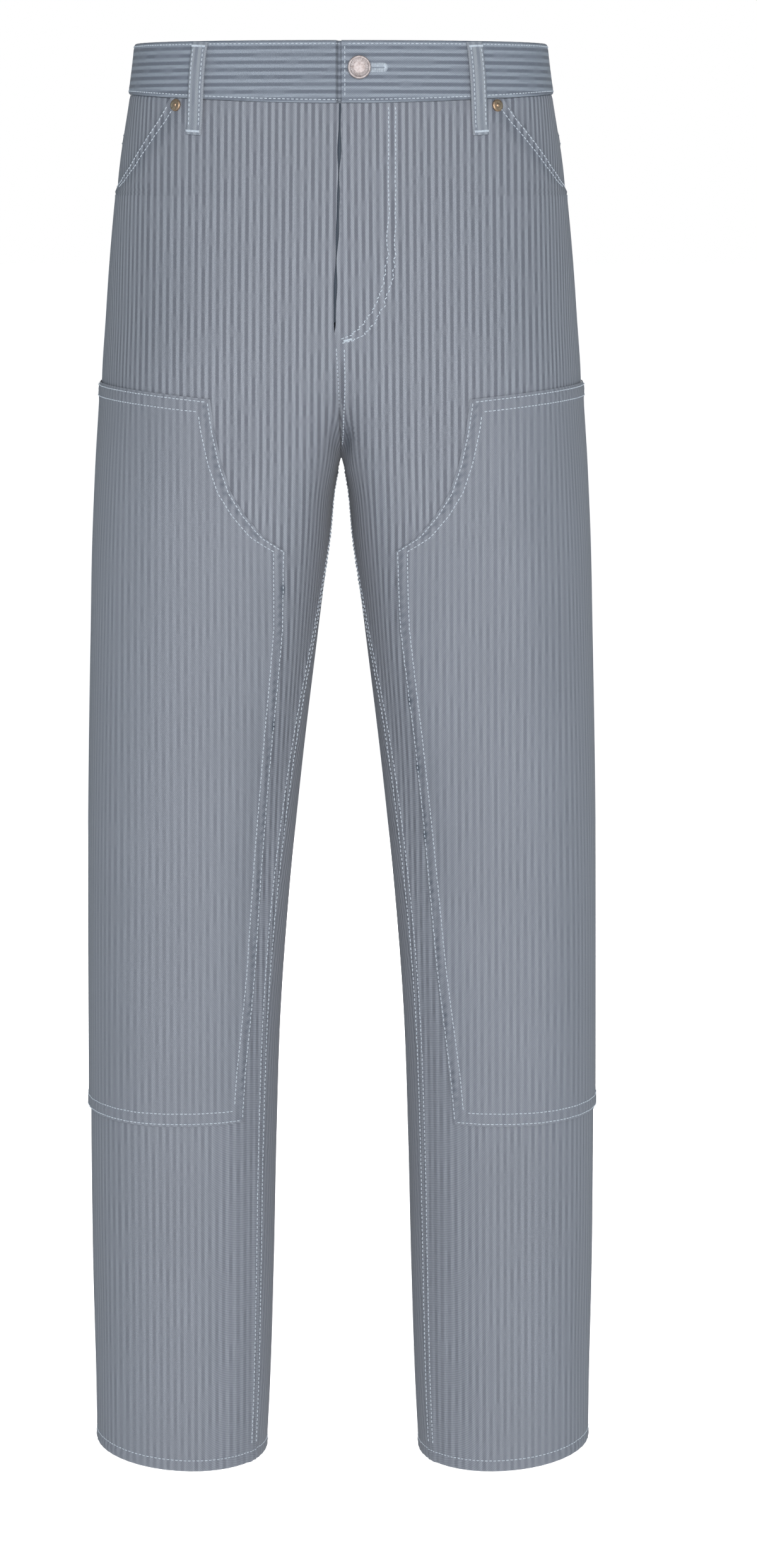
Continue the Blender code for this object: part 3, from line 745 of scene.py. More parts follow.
    def mesh(self, across: Grid, lengthwise: Grid, roll: float = 0.0004) -> bpy.types.Object:
        """Build the shell as a closed mesh with soft edges.

        Args:
            across: distance across the stripe at each point, in metres.
            lengthwise: distance along the stripe.
            roll: how far the outermost points sink, which rounds the edge.

        Returns:
            The new object.
        """
        rows, columns = self.face.shape[:2]
        face = self.face.copy()
        edge = np.zeros((rows, columns), bool)
        edge[[0, -1]] = edge[:, [0, -1]] = True
        face[edge] -= self.normal[edge] * roll
        lining = self.face - self.normal * self.thickness
        lining[edge] += self.normal[edge] * roll / 2
        points = np.concatenate([face.reshape(-1, 3), lining.reshape(-1, 3)])
        index = np.arange(rows * columns).reshape(rows, columns)
        quads = np.stack([index[:-1, :-1], index[:-1, 1:], index[1:, 1:], index[1:, :-1]], -1).reshape(-1, 4)
        rim = np.concatenate([index[0], index[1:, -1], index[-1, -2::-1], index[-2:0:-1, 0]])
        after = np.roll(rim, -1)
        back = rows * columns
        side = np.stack([after, rim, rim + back, after + back], -1)
        faces = np.concatenate([quads, quads[:, ::-1] + back, side])
        middle = (rows // 2, columns // 2)
        right = self.face[middle[0], middle[1] + 1] - self.face[middle]
        below = self.face[middle[0] + 1, middle[1]] - self.face[middle]
        if np.dot(np.cross(right, below), self.normal[middle]) < 0:
            faces = faces[:, ::-1]
        made = mesh_object(self.name, points, faces)
        flat = np.stack([across.ravel(), lengthwise.ravel()], -1)
        flat = np.concatenate([flat, flat])
        corners = faces.ravel()
        layer = made.data.uv_layers.new(name="cloth")
        layer.data.foreach_set("uv", flat[corners].ravel().astype(np.float32))
        # wear holds wear above 0 and painted shade below 0
        for name, grid in (("wear", self.wear), ("contrast", self.contrast)):
            spread = made.data.attributes.new(name, "FLOAT", "POINT")
            spread.data.foreach_set("value", np.tile(grid.ravel(), 2).astype(np.float32))
        made.data.set_sharp_from_angle(angle=math.radians(50))
        return made


def mesh_object(name: str, points: Grid, faces: Grid | list) -> bpy.types.Object:
    """Make a smooth-shaded mesh object.

    Args:
        name: the object's name.
        points: the vertices.
        faces: the vertex numbers of each face.

    Returns:
        The new object, linked to the scene.
    """
    mesh = bpy.data.meshes.new(name)
    mesh.from_pydata(np.asarray(points).tolist(), [], faces if isinstance(faces, list) else faces.tolist())
    mesh.shade_smooth()
    made = bpy.data.objects.new(name, mesh)
    bpy.context.scene.collection.objects.link(made)
    return made


@dataclass(frozen=True)
class Stitch:
    """Size of one stitch."""

    length: float = 2.6 * MM
    gap: float = 0.7 * MM
    width: float = 0.80 * MM
    height: float = 0.42 * MM


TOPSTITCH = Stitch()
TACK_STITCH = Stitch(length=2.2 * MM, gap=0.0, width=0.50 * MM, height=0.36 * MM)


@dataclass
class Sewing:
    """The stitches of one piece, gathered row by row and built as one mesh."""

    name: str
    sides: int = 5
    overlap: float = 0.85  # spacing of a tack's stitches, in their widths
    lean: float = 0.35  # how far they lean to and fro, in their widths
    _points: list[Grid] = field(default_factory=list)
    _faces: list[Grid] = field(default_factory=list)
    _count: int = 0

    # share of the length, share of the width, height above the cloth in stitch heights
    profile = np.array((
        (0.0, 0.45, -0.9),
        (0.16, 0.9, 0.1),
        (0.5, 1.0, 0.45),
        (0.84, 0.9, 0.1),
        (1.0, 0.45, -0.9),
    ))

    def row(self, line: Line, stitch: Stitch = TOPSTITCH) -> None:
        """Sew a row of stitches along a line.

        Args:
            line: the line on the cloth.
            stitch: their size.
        """
        if len(line.points) < 2:
            return
        run = np.concatenate([[0.0], np.cumsum(np.linalg.norm(np.diff(line.points, axis=0), axis=1))])
        pitch = stitch.length + stitch.gap
        number = int(run[-1] // pitch)
        starts = (run[-1] - number * pitch) / 2 + np.arange(number) * pitch
        self._sew(line, run, starts, stitch)

    def single(self, start: Grid, end: Grid, normal: Grid, stitch: Stitch) -> None:
        """Sew one stitch from a point to another.

        Args:
            start: the point where it comes up.
            end: the point where it goes down.
            normal: unit vector out of the cloth.
            stitch: its width and height.
        """
        line = Line(np.array([start, end]), np.array([normal, normal]))
        length = float(np.linalg.norm(end - start))
        size = Stitch(length, 0.0, stitch.width, stitch.height)
        self._sew(line, np.array([0.0, length]), np.array([0.0]), size)

    def tack(self, centre: Grid, lengthwise: Grid, normal: Grid, length: float, breadth: float) -> None:
        """Sew a bar tack: close stitches that lie side by side.

        Args:
            centre: its middle, on the cloth.
            lengthwise: unit vector along the bar.
            normal: unit vector out of the cloth.
            length: length of the bar.
            breadth: length of its stitches.
        """
        side = unit(np.cross(normal, lengthwise))
        number = int(length / (TACK_STITCH.width * self.overlap))
        for index in range(number):
            along_bar = centre + lengthwise * length * ((index + 0.5) / number - 0.5)
            lean = lengthwise * TACK_STITCH.width * self.lean * (1 if index % 2 else -1)
            half = side * breadth / 2 + lean
            self.single(along_bar - half, along_bar + half, normal, TACK_STITCH)

    def _sew(self, line: Line, run: Grid, starts: Grid, stitch: Stitch) -> None:
        """Lay stitches along a line.

        Args:
            line: the line on the cloth.
            run: how far each of its points lies along it.
            starts: how far along it each stitch starts.
            stitch: their size.
        """
        places = starts[:, None] + self.profile[:, 0] * stitch.length
        points = np.stack([np.interp(places, run, line.points[:, axis]) for axis in range(3)], -1)
        normals = unit(np.stack([np.interp(places, run, line.normals[:, axis]) for axis in range(3)], -1))
        forward = unit(np.gradient(points, axis=1))
        sideways = unit(np.cross(forward, normals))
        turn = np.arange(self.sides) / self.sides * math.tau + math.pi / 2
        width = self.profile[:, 1, None] * stitch.width / 2
        rise = (self.profile[:, 2, None] + self.profile[:, 1, None] * np.sin(turn)) * stitch.height
        rings = (
            points[:, :, None, :]
            + sideways[:, :, None, :] * (width * np.cos(turn))[None, :, :, None]
            + normals[:, :, None, :] * rise[None, :, :, None]
        )
        number, levels, sides = len(starts), len(self.profile), self.sides
        index = np.arange(levels * sides).reshape(levels, sides)
        beside = np.roll(index, -1, axis=1)
        quads = np.stack([index[:-1], beside[:-1], beside[1:], index[1:]], -1).reshape(-1, 4)
        shift = (np.arange(number) * levels * sides)[:, None, None] + self._count
        self._points.append(rings.reshape(-1, 3))
        self._faces.append((quads[None] + shift).reshape(-1, 4).tolist())
        for cap in (index[0][::-1], index[-1]):
            self._faces.append((cap[None] + shift[:, 0]).tolist())
        self._count += number * levels * sides

    def build(self) -> bpy.types.Object:
        """Join every stitch in one mesh."""
        faces = [face for group in self._faces for face in group]
        return mesh_object(self.name, np.concatenate(self._points), faces)


class NodeSheet:
    """Short ways to add and link shader nodes."""

    def __init__(self, tree: bpy.types.NodeTree) -> None:
        """Work on a node tree."""
        self.tree = tree

    def feed(self, target: bpy.types.Node, inputs: dict) -> None:
        """Fill a node's inputs.

        Args:
            target: the node.
            inputs: sockets to link, or values to set, by name or number.
        """
        for key, value in inputs.items():
            if isinstance(value, bpy.types.NodeSocket):
                self.tree.links.new(value, target.inputs[key])
            else:
                target.inputs[key].default_value = value

    def node(self, kind: str, inputs: dict | None = None, **settings: object) -> bpy.types.Node:
        """Add a node.

        Args:
            kind: its type.
            inputs: sockets to link, or values to set, by name or number.
            settings: its own properties.

        Returns:
            The node.
        """
        made = self.tree.nodes.new(kind)
        for name, value in settings.items():
            setattr(made, name, value)
        self.feed(made, inputs or {})
        return made

    def group(self, tree: bpy.types.NodeTree, inputs: dict) -> bpy.types.bpy_prop_collection:
        """Outputs of a node group."""
        return self.node("ShaderNodeGroup", inputs, node_tree=tree).outputs

    def math(self, operation: str, *values: Source) -> bpy.types.NodeSocket:
        """Result of a Math node on sockets or numbers."""
        return self.node("ShaderNodeMath", dict(enumerate(values)), operation=operation).outputs[0]

    def place(self, x: Source, y: Source) -> bpy.types.NodeSocket:
        """Vector of two sockets or numbers."""
        return self.node("ShaderNodeCombineXYZ", {0: x, 1: y}).outputs[0]

    def attribute(self, name: str) -> bpy.types.NodeSocket:
        """Value of one of the mesh's attributes."""
        return self.node("ShaderNodeAttribute", attribute_name=name).outputs["Fac"]

    def object_place(self) -> bpy.types.NodeSocket:
        """Place on the object."""
        return self.node("ShaderNodeTexCoord").outputs["Object"]

    def ramp(
        self,
        value: Source,
        low: Source,
        high: Source,
        to_low: float = 0.0,
        to_high: float = 1.0,
        kind: str = "SMOOTHSTEP",
    ) -> bpy.types.NodeSocket:
        """Result of a Map Range node."""
        inputs = {"Value": value, "From Min": low, "From Max": high, "To Min": to_low, "To Max": to_high}
        return self.node("ShaderNodeMapRange", inputs, interpolation_type=kind).outputs["Result"]

    def noise(self, place: Source, scale: Source, detail: float = 2.0) -> bpy.types.NodeSocket:
        """Value of a Noise node at a place."""
        inputs = {"Vector": place, "Scale": scale, "Detail": detail}
        return self.node("ShaderNodeTexNoise", inputs).outputs["Fac"]

    def mix(self, factor: Source, first: Source, second: Source) -> bpy.types.NodeSocket:
        """Mixed colour of two colours."""
        first, second = ((*each, 1.0) if isinstance(each, tuple) else each for each in (first, second))
        return self.node("ShaderNodeMix", {0: factor, 6: first, 7: second}, data_type="RGBA").outputs[2]

    def toned(self, colour: Source, tone: Source) -> bpy.types.NodeSocket:
        """A colour multiplied by a number."""
        return self.node("ShaderNodeVectorMath", {0: colour, 1: tone}, operation="MULTIPLY").outputs[0]

    def bump(self, height: Source, strength: float, distance: float) -> bpy.types.NodeSocket:
        """Normal of a Bump node."""
        inputs = {"Height": height, "Strength": strength, "Distance": distance}
        return self.node("ShaderNodeBump", inputs).outputs["Normal"]


def start_group(name: str, inputs: dict[str, float | None], outputs: tuple[str, ...]) -> tuple:
    """Start a shader node group with named inputs and outputs.

    Args:
        name: its name.
        inputs: each input's number, or None where it is a vector.
        outputs: the names of its outputs, which are numbers.

    Returns:
        Its sheet, the sockets that it is given, and its output node.
    """
    tree = bpy.data.node_groups.new(name, "ShaderNodeTree")
    for title, value in inputs.items():
        kind = "NodeSocketVector" if value is None else "NodeSocketFloat"
        socket = tree.interface.new_socket(title, in_out="INPUT", socket_type=kind)
        if value is not None:
            socket.default_value = value
    for title in outputs:
        tree.interface.new_socket(title, in_out="OUTPUT", socket_type="NodeSocketFloat")
    sheet = NodeSheet(tree)
    return sheet, sheet.node("NodeGroupInput").outputs, sheet.node("NodeGroupOutput")


def stripe_effect() -> bpy.types.NodeTree:
    """Mask of the light yarns of a stripe that wanders a little, as woven stripes do.

    Returns:
        The node group.
    """
    inputs = {
        "Across": 0.0,
        "Along": 0.0,
        "Pitch": 0.0053,
        "Dark Share": 0.5,
        "Softness": 0.2,
        "Wander": 0.2,
        "Contrast": 1.0,
    }
    sheet, given, out = start_group("woven_stripe", inputs, ("Light",))
    across, lengthwise = given["Across"], given["Along"]
    slow = sheet.place(sheet.math("MULTIPLY", across, 90.0), lengthwise)
    yarns = sheet.place(sheet.math("MULTIPLY", across, 5.0), lengthwise)
    drift = sheet.math("SUBTRACT", sheet.noise(slow, 5.0), 0.5)
    slub = sheet.math("SUBTRACT", sheet.noise(yarns, 420.0, 3.0), 0.5)
    shift = sheet.math("MULTIPLY", sheet.math("ADD", drift, slub), given["Wander"])
    place = sheet.math("ADD", sheet.math("DIVIDE", across, given["Pitch"]), shift)
    depth = sheet.math("MULTIPLY", sheet.math("PINGPONG", place, 0.5), 2.0)
    low = sheet.math("SUBTRACT", given["Dark Share"], given["Softness"])
    high = sheet.math("ADD", given["Dark Share"], given["Softness"])
    stripe = sheet.math("SUBTRACT", sheet.ramp(depth, low, high), 0.5)
    yarn = sheet.math("ROUND", place)
    run = sheet.math("MULTIPLY_ADD", yarn, 0.45, sheet.math("MULTIPLY", lengthwise, 42.0))
    dashes = sheet.noise(sheet.place(sheet.math("MULTIPLY", yarn, 0.8), run), 1.0)
    strength = sheet.math("MULTIPLY", sheet.ramp(dashes, 0.32, 0.68, 0.40, 1.60), given["Contrast"])
    sheet.feed(out, {"Light": sheet.math("MULTIPLY_ADD", stripe, strength, 0.5)})
    return sheet.tree


def twill_effect() -> bpy.types.NodeTree:
    """Height and shade of the diagonal wales of twill.

    Returns:
        The node group.
    """
    inputs = {"Across": 0.0, "Along": 0.0, "Wale": 0.0011, "Slubs": 0.5}
    sheet, given, out = start_group("twill_weave", inputs, ("Height", "Shade"))
    across, lengthwise = given["Across"], given["Along"]
    diagonal = sheet.math("ADD", sheet.math("MULTIPLY", across, 0.8), sheet.math("MULTIPLY", lengthwise, 0.6))
    turns = sheet.math("MULTIPLY", sheet.math("DIVIDE", diagonal, given["Wale"]), math.tau)
    wale = sheet.math("MULTIPLY_ADD", sheet.math("SINE", turns), 0.5, 0.5)
    fibre = sheet.noise(sheet.place(sheet.math("MULTIPLY", across, 3.0), lengthwise), 700.0, 3.0)
    rough = sheet.math("MULTIPLY", fibre, given["Slubs"])
    height = sheet.math("ADD", sheet.math("MULTIPLY", wale, 0.6), rough)
    sheet.feed(out, {"Height": height, "Shade": sheet.ramp(height, 0.1, 0.9, 0.86, 1.12, "LINEAR")})
    return sheet.tree


def wash_and_shade_effect() -> bpy.types.NodeTree:
    """How far washing and wear have paled the cloth, and how far painted shade darkens it.

    Returns:
        The node group.
    """
    inputs = {"Place": None, "Wear": 0.0, "Clouds": 0.1}
    sheet, given, out = start_group("wash", inputs, ("Pale", "Deep", "Tone"))
    clouds = sheet.math("SUBTRACT", sheet.noise(given["Place"], 9.0, 4.0), 0.5)
    broken = sheet.ramp(sheet.noise(given["Place"], 260.0, 2.0), 0.35, 0.65, 0.4, 1.0)
    worn = sheet.math("MAXIMUM", given["Wear"], 0.0)
    # wear values below 0 are painted shade
    shaded = sheet.math("MAXIMUM", sheet.math("MULTIPLY", given["Wear"], -1.0), 0.0)
    results = {
        "Pale": sheet.math("MULTIPLY", worn, broken),
        "Deep": sheet.math("MINIMUM", shaded, 1.0),
        "Tone": sheet.math("MULTIPLY_ADD", clouds, given["Clouds"], 1.0),
    }
    sheet.feed(out, results)
    return sheet.tree


def grain_effect() -> bpy.types.NodeTree:
    """Fine grain of thread fibres or worn metal.

    Returns:
        The node group.
    """
    inputs = {"Place": None, "Scale": 900.0, "Spread": 0.2}
    sheet, given, out = start_group("fine_grain", inputs, ("Height", "Tone"))
    grain = sheet.noise(given["Place"], given["Scale"], 3.0)
    centred = sheet.math("SUBTRACT", grain, 0.5)
    sheet.feed(out, {"Height": grain, "Tone": sheet.math("MULTIPLY_ADD", centred, given["Spread"], 1.0)})
    return sheet.tree


@dataclass
class EffectShelf:
    """The node groups that materials share."""

    stripe: bpy.types.NodeTree = field(default_factory=stripe_effect)
    twill: bpy.types.NodeTree = field(default_factory=twill_effect)
    wash: bpy.types.NodeTree = field(default_factory=wash_and_shade_effect)
    grain: bpy.types.NodeTree = field(default_factory=grain_effect)


def start_material(name: str) -> tuple[bpy.types.Material, NodeSheet, bpy.types.Node]:
    """Make a material.

    Args:
        name: its name.

    Returns:
        The material, its sheet and its Principled shader.
    """
    made = bpy.data.materials.new(name)
    made.use_nodes = True
    return made, NodeSheet(made.node_tree), made.node_tree.nodes["Principled BSDF"]


# Colour towards which painted shade darkens the cloth.
SHADE_COLOUR: Colour = (0.050, 0.072, 0.105)


@dataclass(frozen=True)
class ClothFinish:
    """A striped twill."""

    name: str
    slot: str
    dark: Colour
    light: Colour
    pitch: float = 0.0053
    dark_share: float = 0.50
    softness: float = 0.30
    wander: float = 0.16
    clouds: float = 0.14
    roughness: float = 0.90
    specular: float = 0.2
    sheen: float = 0.12
    sheen_roughness: float = 0.5
    relief: tuple[float, float] = (0.5, 0.0003)  # strength and height of the weave

    def material(self, shelf: EffectShelf) -> bpy.types.Material:
        """Build the material.

        Args:
            shelf: the shared node groups.

        Returns:
            The material.
        """
        made, sheet, shader = start_material(self.name)
        flat = sheet.node("ShaderNodeUVMap", uv_map="cloth").outputs["UV"]
        split = sheet.node("ShaderNodeSeparateXYZ", {0: flat}).outputs
        flat_place = {"Across": split["X"], "Along": split["Y"]}
        stripe_inputs = {
            "Pitch": self.pitch,
            "Dark Share": self.dark_share,
            "Softness": self.softness,
            "Wander": self.wander,
            "Contrast": sheet.attribute("contrast"),
        }
        stripe = sheet.group(shelf.stripe, flat_place | stripe_inputs)
        twill = sheet.group(shelf.twill, flat_place)
        wash_and_shade_inputs = {"Place": sheet.object_place(), "Wear": sheet.attribute("wear"), "Clouds": self.clouds}
        wash = sheet.group(shelf.wash, wash_and_shade_inputs)
        # Stripe colour toned by weave and clouds, paled by wear, then darkened towards painted shade
        colour = sheet.mix(stripe["Light"], self.dark, self.light)
        toned = sheet.toned(colour, sheet.math("MULTIPLY", twill["Shade"], wash["Tone"]))
        pale = sheet.mix(wash["Pale"], toned, self.light)
        inputs = {
            "Base Color": sheet.mix(wash["Deep"], pale, SHADE_COLOUR),
            "Normal": sheet.bump(twill["Height"], *self.relief),
            "Roughness": self.roughness,
            "Specular IOR Level": self.specular,
            "Sheen Weight": self.sheen,
            "Sheen Roughness": self.sheen_roughness,
        }
        sheet.feed(shader, inputs)
        return made


@dataclass(frozen=True)
class GrainFinish:
    """Thread or metal, with a fine grain."""

    name: str
    slot: str
    colour: Colour
    hollow: Colour
    roughness: float
    metallic: float = 0.0
    scale: float = 900.0
    spread: float = 0.2
    bump: float = 0.2
    bump_height: float = 0.0001
    sheen: float = 0.0

    def material(self, shelf: EffectShelf) -> bpy.types.Material:
        """Build the material.

        Args:
            shelf: the shared node groups.

        Returns:
            The material.
        """
        made, sheet, shader = start_material(self.name)
        given = {"Place": sheet.object_place(), "Scale": self.scale, "Spread": self.spread}
        grain = sheet.group(shelf.grain, given)
        colour = sheet.mix(sheet.ramp(grain["Height"], 0.3, 0.6), self.hollow, self.colour)
        inputs = {
            "Base Color": sheet.toned(colour, grain["Tone"]),
            "Normal": sheet.bump(grain["Height"], self.bump, self.bump_height),
            "Roughness": self.roughness,
            "Metallic": self.metallic,
            "Sheen Weight": self.sheen,
        }
        sheet.feed(shader, inputs)
        return made


STRIPED_TWILL = ClothFinish("striped_twill", "striped_twill", (0.175, 0.190, 0.228), (0.335, 0.365, 0.420))
BAND_TWILL = ClothFinish(
    "striped_twill_band", "striped_twill_band", (0.165, 0.190, 0.236), (0.318, 0.365, 0.432)
)
# The fly shield's dark colours are partly its unwashed inner face and partly painted shade of the narrow slot
# in front of it.
SHADED_SHIELD_TWILL = ClothFinish("inner_twill", "striped_twill", (0.060, 0.080, 0.110), (0.110, 0.135, 0.170))
LOOP_TWILL = ClothFinish("loop_twill", "loop_twill", (0.235, 0.265, 0.315), (0.345, 0.380, 0.430))
THREAD = GrainFinish("thread", "thread", (0.66, 0.74, 0.82), (0.50, 0.57, 0.66), 0.65, sheen=0.2)
BUTTON_METAL = GrainFinish(
    "button_metal", "button_metal", (0.60, 0.55, 0.55), (0.47, 0.41, 0.40), 0.64, 1.0, 500.0, 0.15, 0.15
)
COPPER = GrainFinish(
    "copper", "copper", (0.52, 0.38, 0.26), (0.34, 0.24, 0.17), 0.48, 1.0, 700.0, 0.3, 0.3
)


@dataclass
class Workroom:
    """Holds the materials, and hands each finished piece to the frame."""

    shelf: EffectShelf = field(default_factory=EffectShelf)
    turned_in: float = 1.10  # cut area of a piece, as a share of what shows
    _made: dict[str, bpy.types.Material] = field(default_factory=dict)

    def dress(
        self, piece: bpy.types.Object, finish: ClothFinish | GrainFinish, *nodes: str
    ) -> bpy.types.Object:
        """Give a piece its material, and fix it to the jeans.

        Args:
            piece: the piece.
            finish: its finish.
            nodes: the plain solids that it stands for.

        Returns:
            The piece.
        """
        if finish.name not in self._made:
            self._made[finish.name] = finish.material(self.shelf)
        piece.data.materials.append(self._made[finish.name])
        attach(piece, "root")
        if nodes:
            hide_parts(*nodes)
        LOG.info("%s: %d faces, %s", piece.name, len(piece.data.polygons), finish.name)
        return piece

    def sheet(
        self, piece: bpy.types.Object, shell: Shell, allowance: float, held: str, on: list[str]
    ) -> None:
        """Do nothing with a piece: it is not declared as a sheet of cloth, and the size that it was cut to is
        not kept.

        Args:
            piece: the piece; not used.
            shell: the shell that it was built from; not used.
            allowance: cloth turned in at each edge; not used.
            held: how the cloth is held; not used.
            on: what it lies on; not used.
        """

    def make_up(
        self, shell: Shell, on: str, held: str, allowance: float, shift: float, back: bool = False
    ) -> None:
        """Make a piece of striped twill from its shell; its cut is handed to sheet, which does not declare
        it.

        Args:
            shell: the shell, named after the plain solid that it stands for.
            on: the piece that it lies on or hangs from.
            held: how the cloth is held.
            allowance: cloth turned in at each edge.
            shift: how far its stripes lie from the line that they run along.
            back: whether that line is the one on the back.
        """
        across = FORM.across_stripe(shell.downs, shell.angles, back=back) + shift
        piece = shell.mesh(across, shell.from_top)
        self.dress(piece, STRIPED_TWILL, shell.name.removeprefix("cloth_"))
        self.sheet(piece, shell, allowance, held, [on])


def puckers(distance: Grid, run: Grid, width: float, period: float, phase: float) -> Grid:
    """Small waves that a row of stitches draws the cloth into.

    Args:
        distance: distance from the row.
        run: distance along it.
        width: how far the waves reach from it.
        period: their spacing, which varies along the row.
        phase: where they start.

    Returns:
        Heights between -1 and 1.
    """
    wander = 0.9 * np.sin(run / (period * 2.7) + phase) + 0.6 * np.sin(run / (period * 1.6) + 2 * phase)
    return bell(distance, width) * np.sin(math.tau * run / period + phase + 2 * wander)


@dataclass
class LegPanels:
    """The fronts and backs of both halves, with their seams and hems."""

    room: Workroom
    columns: int = 84
    row_step: float = 0.0042
    # rows of points that lie closer than that, in millimetres above the crotch and above the hem
    fork_rows: tuple[float, ...] = (-5, -2, 0.3, 0.8, 1.5, 2.5, 3.7, 5, 7, 9, 11.5, 14)
    hem_rows: tuple[float, ...] = (1, 3, 5, 7, 9, 11)
    back_top: float = 0.0900
    back_levelled: float = 0.190  # where a back's rows no longer follow the yoke's seam
    allowance: float = 12.0 * MM
    stripe_shift: float = 0.0013
    felled: float = 11.0 * MM  # width of a felled seam
    felled_height: float = 0.8 * MM
    needles: tuple[float, float] = (2.0 * MM, 8.5 * MM)  # a double row's distances from its seam
    hem_row: float = 8.5 * MM
    # how far each panel's edge stands back from the line of the fly
    fly_slot: dict[Half, float] = field(default_factory=lambda: {Half.LEFT: 1.5 * MM, Half.RIGHT: 1.0 * MM})
    # the hollow beside the centre seam just above the crotch, and the painted shade in it
    fork_down: float = 0.2910
    fork_reach: float = 13 * MM
    fork_inset: float = 4.5 * MM
    fork_spread: float = 3.5 * MM
    fork_depth: dict[Half, float] = field(default_factory=lambda: {Half.LEFT: 2.0 * MM, Half.RIGHT: 0.5 * MM})
    fork_shade: dict[Half, float] = field(default_factory=lambda: {Half.LEFT: 0.75, Half.RIGHT: 0.15})
    # distances down, and the stripe's contrast there
    fade_levels: tuple[float, ...] = (0.04, 0.26, 0.62, 0.80, 1.08)
    fade_shares: tuple[float, ...] = (1.0, 0.88, 0.72, 0.42, 0.38)

    def build(self) -> None:
        """Build the four panels."""
        for half in Half:
            self.front(half)
            self.back(half)

    def front(self, half: Half) -> None:
        """Build one front panel and its sewing.

        Args:
            half: which half.
        """
        sign = half.value
        downs = self._rows(np.unique([BAND_HEIGHT, *POCKET_MOUTH[:, 0], FLY_END, CROTCH, HEM]))
        slot = self.fly_slot[half] * (1 + 0.25 * np.sin(downs / (9 * MM)) + 0.2 * np.sin(downs / (5.3 * MM)))
        turn = FORM.angle_at(downs, slot) - FORM.angle_at(downs, 0.0)
        turn = turn * (1 - step(FLY_END - 12 * MM, FLY_END + 4 * MM, downs))
        inner = FORM.centre_front(sign, downs) + turn
        angles = FORM.between_seams(sign, downs, inner, FORM.pocket_mouth(sign, downs), self.columns)
        grid = np.maximum(downs, BELOW_BAND)[:, None]
        shell = Shell.on_half("cloth_front_" + half.word, sign, grid, angles)
        self._seam_relief(shell, sign, front=True)
        self._front_relief(shell, half)
        shell.even_out(self.fade_levels, self.fade_shares)
        self.room.make_up(shell, "cloth_waistband", "hung", self.allowance, self.stripe_shift * sign)
        sewing = Sewing("stitches_front_" + half.word)
        for row in self.needles:
            sewing.row(shell.beside(shell.from_inner, row, CROTCH + 3 * MM, HEM - 12 * MM))
            sewing.row(shell.beside(shell.from_outer, row, BAND_HEIGHT + 4 * MM, FACING_END - 14 * MM))
        sewing.row(shell.under(shell.from_bottom, self.hem_row))
        if half is Half.LEFT:
            self._fly_rows(shell, sewing)
            for row, short in ((7.5 * MM, 10 * MM), (1.8 * MM, 6 * MM)):
                sewing.row(shell.beside(shell.from_inner, row, FLY_END + 8 * MM, CROTCH - short))
        # the bar tack where the pocket's mouth meets the side seam
        spot = shell.beside(shell.from_outer, 5.0 * MM, 0.1125, 0.118)
        sewing.tack(spot.points[0], np.array((0.0, 0.0, 1.0)), spot.normals[0], 8.0 * MM, 2.0 * MM)
        self.room.dress(sewing.build(), THREAD)

    def back(self, half: Half) -> None:
        """Build one back panel and its sewing.

        Args:
            half: which half.
        """
        sign = half.value
        downs = self._rows(np.array((self.back_top, self.back_levelled, CROTCH, HEM)))
        fade = np.interp(downs, (self.back_top, self.back_levelled), (1.0, 0.0))
        at_centre = downs + fade * (YOKE_AT_CENTRE + SEAM_GAP - self.back_top)
        side = np.full(len(downs), SIDE_ON_BACK)
        angles = FORM.between_seams(sign, at_centre, FORM.centre_back(at_centre), side, self.columns)
        shift = FORM.yoke_seam(angles) - 3 * SEAM_LAP - self.back_top
        grid = downs[:, None] + fade[:, None] * shift
        shell = Shell.on_half("cloth_back_" + half.word, sign, grid, angles)
        self._seam_relief(shell, sign, front=False)
        shell.even_out(self.fade_levels, self.fade_shares)
        # painted shade down the side seam
        shell.paint_shade(shell.side_shade())
        yoke = "cloth_yoke_" + half.word
        self.room.make_up(shell, yoke, "hung", self.allowance, self.stripe_shift * sign, back=True)
        sewing = Sewing("stitches_back_" + half.word)
        sewing.row(shell.under(shell.from_bottom, self.hem_row))
        if half is Half.LEFT:
            for row in self.needles:
                sewing.row(shell.beside(shell.from_inner, row, YOKE_AT_CENTRE, CROTCH - 12 * MM))
        self.room.dress(sewing.build(), THREAD)

    def _rows(self, knots: Grid) -> Grid:
        """Lay out a panel's rows of points, closer at the crotch and the hem.

        Args:
            knots: distances down that have a row of their own.

        Returns:
            Their distances down.
        """
        by_fork, by_hem = CROTCH - np.array(self.fork_rows) * MM, HEM - np.array(self.hem_rows) * MM
        return np.unique(np.concatenate([finer(knots, self.row_step), by_fork, by_hem]))

    def _front_relief(self, shell: Shell, half: Half) -> None:
        """Shape and fade the fly's edge, the hollow above the crotch and the pocket's mouth, and paint shade
        in that hollow and down the side.

        Args:
            shell: the front.
            half: its half.
        """
        if half is Half.LEFT:
            on_fly = np.interp(shell.downs, (FLY_END, FLY_END + 0.03), (1.0, 0.0))
            shell.lift(FLY_LIFT * np.clip(1 - shell.from_inner / FLY_WIDTH, 0.0, 1.0) * on_fly)
            shell.fade(0.8 * bell(shell.from_inner, 1.6 * MM) * on_fly)
        fork = bell(shell.downs - self.fork_down, self.fork_reach)
        fork = fork * bell(half.value * shell.face[..., 0] - self.fork_inset, self.fork_spread)
        shell.lift(-self.fork_depth[half] * fork * step(0.0, 3 * MM, shell.from_inner))
        mouth = bell(shell.from_outer, 4 * MM) * (shell.downs < FACING_END - 8 * MM)
        shell.lift(0.5 * MM * mouth)
        shell.fade(0.35 * mouth)
        # painted shade in the hollow above the crotch and down the side seam
        shell.paint_shade(self.fork_shade[half] * fork + shell.side_shade())

